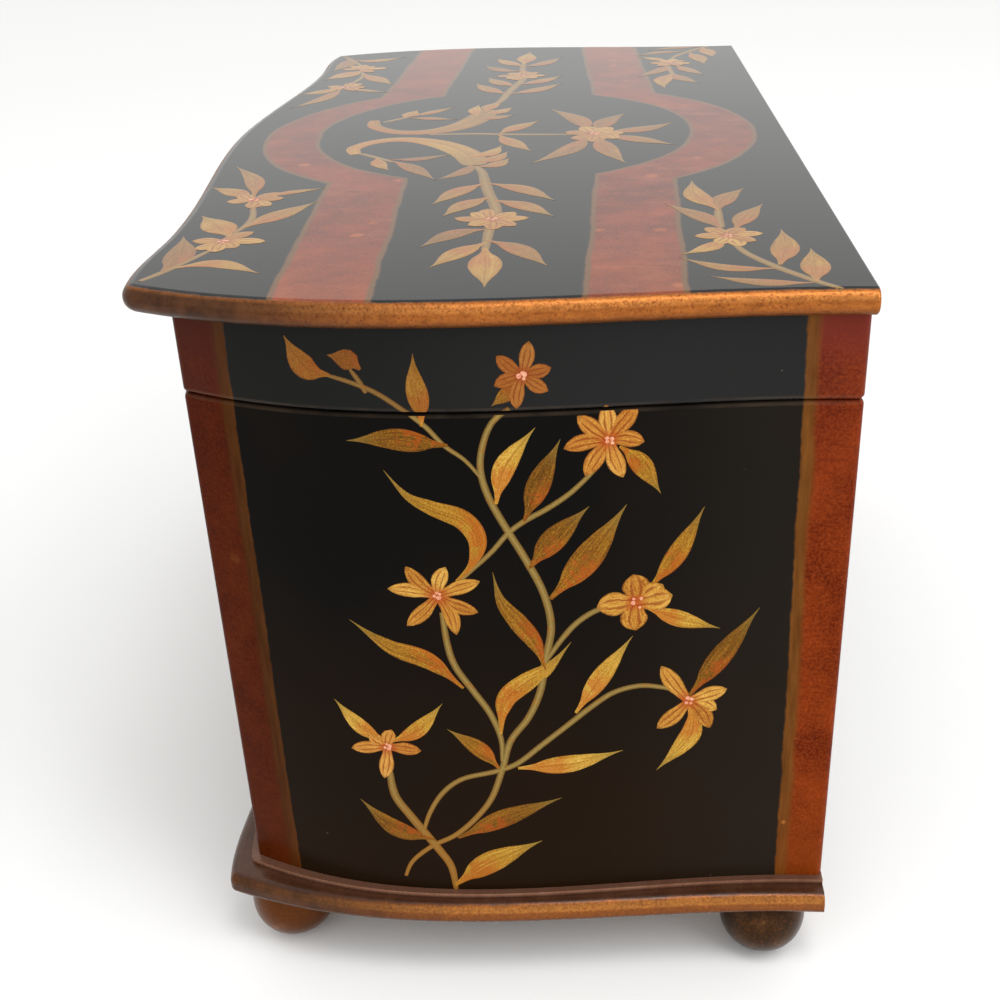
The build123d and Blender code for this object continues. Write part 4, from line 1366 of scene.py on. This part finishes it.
def stuffed_roll(low_x, high_x, width, low_z, high_z):
    """One roll of the ring cushion: a velvet tube, blown up as cloth where there is time."""
    rings, sides, end_round, voxel, most_move = 28, 20, 0.006, 0.0022, 0.0022
    half, height = width / 2, high_z - low_z
    mesh = bpy.data.meshes.new("roll")
    with reshaping(mesh) as shape:
        loops = []
        for i in range(rings + 1):
            share = i / rings
            end = min(share, 1 - share) * (high_x - low_x)
            puff = 0.72 + 0.24 * math.sqrt(max(0.0, 1 - max(0.0, 1 - end / end_round) ** 2))
            x = low_x + 0.0006 + (high_x - low_x - 0.0012) * share
            loop = []
            for k in range(sides):
                c, s = math.cos(math.tau * k / sides), math.sin(math.tau * k / sides)
                y = half * puff * math.copysign(abs(c) ** 0.75, c)
                z = low_z + height * 0.5 + height * 0.5 * puff * math.copysign(abs(s) ** 0.8, s)
                loop.append(shape.verts.new((x, y, z)))
            loops.append(loop)
        skin(shape, loops)
    roll = new_piece("roll", mesh)
    remesh = roll.modifiers.new("even cloth", "REMESH")
    remesh.mode, remesh.voxel_size = "VOXEL", voxel
    apply_modifiers(roll)
    start = positions(roll)
    blow_up(roll)
    move = positions(roll) - start
    length = np.linalg.norm(move, axis=1, keepdims=True)
    now = start + move * np.minimum(1.0, most_move / np.maximum(length, 1e-9))
    now = now.clip((low_x, -half, low_z - 0.0004), (high_x, half, high_z))
    roll.data.vertices.foreach_set("co", now.astype(np.float32).ravel())
    smooth = roll.modifiers.new("smooth", "SUBSURF")
    smooth.levels = smooth.render_levels = 1
    apply_modifiers(roll)
    return roll


def positions(piece):
    """Where a mesh's points are, one row each."""
    places = np.empty(len(piece.data.vertices) * 3, np.float32)
    piece.data.vertices.foreach_get("co", places)
    return places.reshape(-1, 3).astype(float)


def blow_up(piece):
    """Fills a closed cloth with air over some frames, then keeps its shape."""
    frames = 20
    scene = bpy.context.scene
    cloth = piece.modifiers.new("stuffing", "CLOTH")
    cloth.settings.quality = 6
    cloth.settings.mass = 0.2
    cloth.settings.use_pressure = True
    cloth.settings.uniform_pressure_force = 4
    cloth.settings.effector_weights.gravity = 0
    cloth.point_cache.frame_start, cloth.point_cache.frame_end = 1, frames
    for count in range(1, frames + 1):
        scene.frame_set(count)
    apply_modifiers(piece)
    scene.frame_set(1)


class CHEST_OT_brass(bpy.types.Operator):
    """Finish the knobs and hinges, and drive the slotted screws"""

    bl_idname = "chest.brass"
    bl_label = "Brass"

    def execute(self, context):
        brass = make_finish("satin brass", brass_recipe, Metallic=1.0)
        dress(brass, "hinge_pins", *(f"drawer_{i}_knobs" for i in DRAWERS))
        for side in ("left", "right"):
            dress(brass, f"hinge_{side}_body_leaf", f"hinge_{side}_lid_leaf")
        for node, body in (("hinge_body_screws", "carcass"), ("hinge_lid_screws", "lid")):
            self.drive_screws(context, node, body, brass)
        return {"FINISHED"}

    @staticmethod
    def drive_screws(context, node, body, brass):
        low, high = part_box(node)
        head = (high.z - low.z) / 2
        leaf_low, leaf_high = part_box("hinge_right_body_leaf")
        middle = (leaf_low.x + leaf_high.x) / 2
        spread = high.x - head - middle
        xs = [side * middle + step * spread for side in (-1, 1) for step in (-1, 0, 1)]
        screws = thread_mesh(node + "_slotted", [(x, high.y, (low.z + high.z) / 2) for x in xs])
        screw = slotted_screw(head, high.y - low.y, context.scene.chest_fittings.screw_slot)
        work_tree(screws, "Copies", copied=screw, most_turn=math.pi, paint=brass)
        bpy.data.objects.remove(screw)
        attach(screws, body)
        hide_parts(node)


def slotted_screw(head, length, slot):
    """A countersunk screw along -y, with its slot cut into the head."""
    outline = (
        (0, -0.0002), (head * 0.8, -0.0002), (head - 0.0001, -0.0003), (head, -0.0004),
        (head * 0.5, -head * 0.5 - 0.0004), (head * 0.48, -length * 0.8), (0, -length),
    )
    sides, slot_deep = 24, 0.0011
    turns = [math.tau * k / sides for k in range(sides)]
    mesh, knife_mesh = bpy.data.meshes.new("screw"), bpy.data.meshes.new("slot")
    with reshaping(mesh) as shape:
        loops = []
        for radius, y in outline:
            if radius:
                ring = [(radius * math.cos(turn), y, radius * math.sin(turn)) for turn in turns]
                loops.append([shape.verts.new(place) for place in ring])
            else:
                loops.append([shape.verts.new((0, y, 0))] * sides)
        skin(shape, loops)
    with reshaping(knife_mesh) as knife:
        bmesh.ops.create_cube(knife, size=1.0)
        bmesh.ops.scale(knife, vec=(head * 3, slot_deep, slot), verts=knife.verts)
        bmesh.ops.translate(knife, vec=(0, -0.0002, 0), verts=knife.verts)
    screw, blade = new_piece("screw", mesh), new_piece("slot", knife_mesh)
    cut = screw.modifiers.new("slot", "BOOLEAN")
    cut.operation, cut.solver, cut.object = "DIFFERENCE", "EXACT", blade
    apply_modifiers(screw)
    bpy.data.objects.remove(blade)
    return screw


class CHEST_OT_mirror(bpy.types.Operator):
    """Silver the mirror in the lid"""

    bl_idname = "chest.mirror"
    bl_label = "Mirror"

    def execute(self, context):
        dress(make_finish("silvered glass", mirror_recipe, Metallic=1.0), "mirror")
        return {"FINISHED"}


def paint_finishes(where, recipe=brushwork_recipe, **steady):
    """The brushwork's and the hearts' paint, with the gloss of the lacquer round them."""
    return (
        shared_finish("brushwork on " + where, recipe, **steady),
        shared_finish("hearts on " + where, heart_recipe, **steady),
    )


class CHEST_OT_end_vines(bpy.types.Operator):
    """Paint the vine on both ends, over the case and the lid's skirt"""

    bl_idname = "chest.end_vines"
    bl_label = "End vines"

    def execute(self, context):
        finishes = paint_finishes("the ends", Roughness=0.3, IOR=1.16)
        below = (CASE_PAINT_TOP, False, (-0.15, -0.35, -0.65, -1.1))
        above = (SKIRT_PAINT_FOOT, True, (0.15, 0.35, 0.6, 0.9))
        for side in ("right", "left"):
            for part, panel, body, seam in (
                ("case", "end_panel", "carcass", below), ("skirt", "lid_skirt", "lid", above)
            ):
                paint_panel(end_vine(), f"vine_{side}_{part}", side, f"{panel}_{side}", body, finishes, seam)
        return {"FINISHED"}


class CHEST_OT_top_sprays(bpy.types.Operator):
    """Paint the middle and the four corner sprays of the lid"""

    bl_idname = "chest.top_sprays"
    bl_label = "Lid's sprays"

    def execute(self, context):
        finishes = paint_finishes("the lid", lid_brushwork_recipe, Roughness=0.2, IOR=1.34)
        corners = Brush(25)
        for spray in (top_front_spray(), top_back_spray()):
            spray.copy_to(corners)
            spray.copy_to(corners, scale=(-1, 1))
        paint_panel(top_middle(), "lid_middle", "top", "lid_slab", "lid", finishes)
        paint_panel(corners, "lid_corners", "top", "lid_slab", "lid", finishes)
        return {"FINISHED"}


class CHEST_OT_front_sprays(bpy.types.Operator):
    """Paint a vine along each drawer's front, the front above them and the skirt"""

    bl_idname = "chest.front_sprays"
    bl_label = "Front sprays"

    def execute(self, context):
        finishes = paint_finishes("the ends", Roughness=0.3, IOR=1.16)
        vine_reach, sprig_x, petal_reach = 72, 136, 11
        fronts = [(f"drawer_{i}_front", f"drawer_{i}", 0.85) for i in DRAWERS]
        fronts += [("compartment_front", "carcass", 1.0), ("lid_skirt_front", "lid", 0.6)]
        for panel, body, tall in fronts:
            low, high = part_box(panel)
            up = (low.z + high.z) * 500
            brush = Brush(41)
            for way in (1, -1):
                front_spray(vine_reach).copy_to(brush, scale=(way, tall), shift=(0, up), wide=tall)
            for x in (-sprig_x, sprig_x):
                sprig().copy_to(brush, scale=(math.copysign(tall, x), tall), shift=(x, up), wide=tall)
            tips = tips_round((0, up), petal_reach * tall, 0.3, 1.2, 2.2, 3.4, 4.3, 5.3)
            brush.flower((0, up), 5.0 * tall, *tips)
            paint_panel(brush, panel + "_spray", "front", panel, body, finishes)
        return {"FINISHED"}


STEPS = (
    CHEST_OT_stage,
    CHEST_OT_lacquer,
    CHEST_OT_gilding,
    CHEST_OT_woodwork,
    CHEST_OT_linings,
    CHEST_OT_ring_cushion,
    CHEST_OT_brass,
    CHEST_OT_mirror,
    CHEST_OT_end_vines,
    CHEST_OT_top_sprays,
    CHEST_OT_front_sprays,
)
GROUPS = {"chest_paint": ChestPaint, "chest_fittings": ChestFittings, "chest_stage": ChestStage}


class CHEST_PT_panel(bpy.types.Panel):
    """The chest's sizes and steps in the sidebar"""

    bl_idname = "CHEST_PT_panel"
    bl_label = "Jewelry chest"
    bl_space_type = "VIEW_3D"
    bl_region_type = "UI"
    bl_category = "Chest"

    def draw(self, context):
        for group in GROUPS:
            box = self.layout.box()
            settings = getattr(context.scene, group)
            for key in settings.__annotations__:
                box.prop(settings, key)
        for step in STEPS:
            self.layout.operator(step.bl_idname)


def register():
    for name, group in GROUPS.items():
        bpy.utils.register_class(group)
        setattr(bpy.types.Scene, name, PointerProperty(type=group))
    for step in (*STEPS, CHEST_PT_panel):
        bpy.utils.register_class(step)


def unregister():
    for step in (CHEST_PT_panel, *reversed(STEPS)):
        bpy.utils.unregister_class(step)
    for name, group in reversed(GROUPS.items()):
        delattr(bpy.types.Scene, name)
        bpy.utils.unregister_class(group)


def main():
    register()
    for step in STEPS:
        group, name = step.bl_idname.split(".")
        getattr(getattr(bpy.ops, group), name)()


if __name__ == "__main__":
    main()
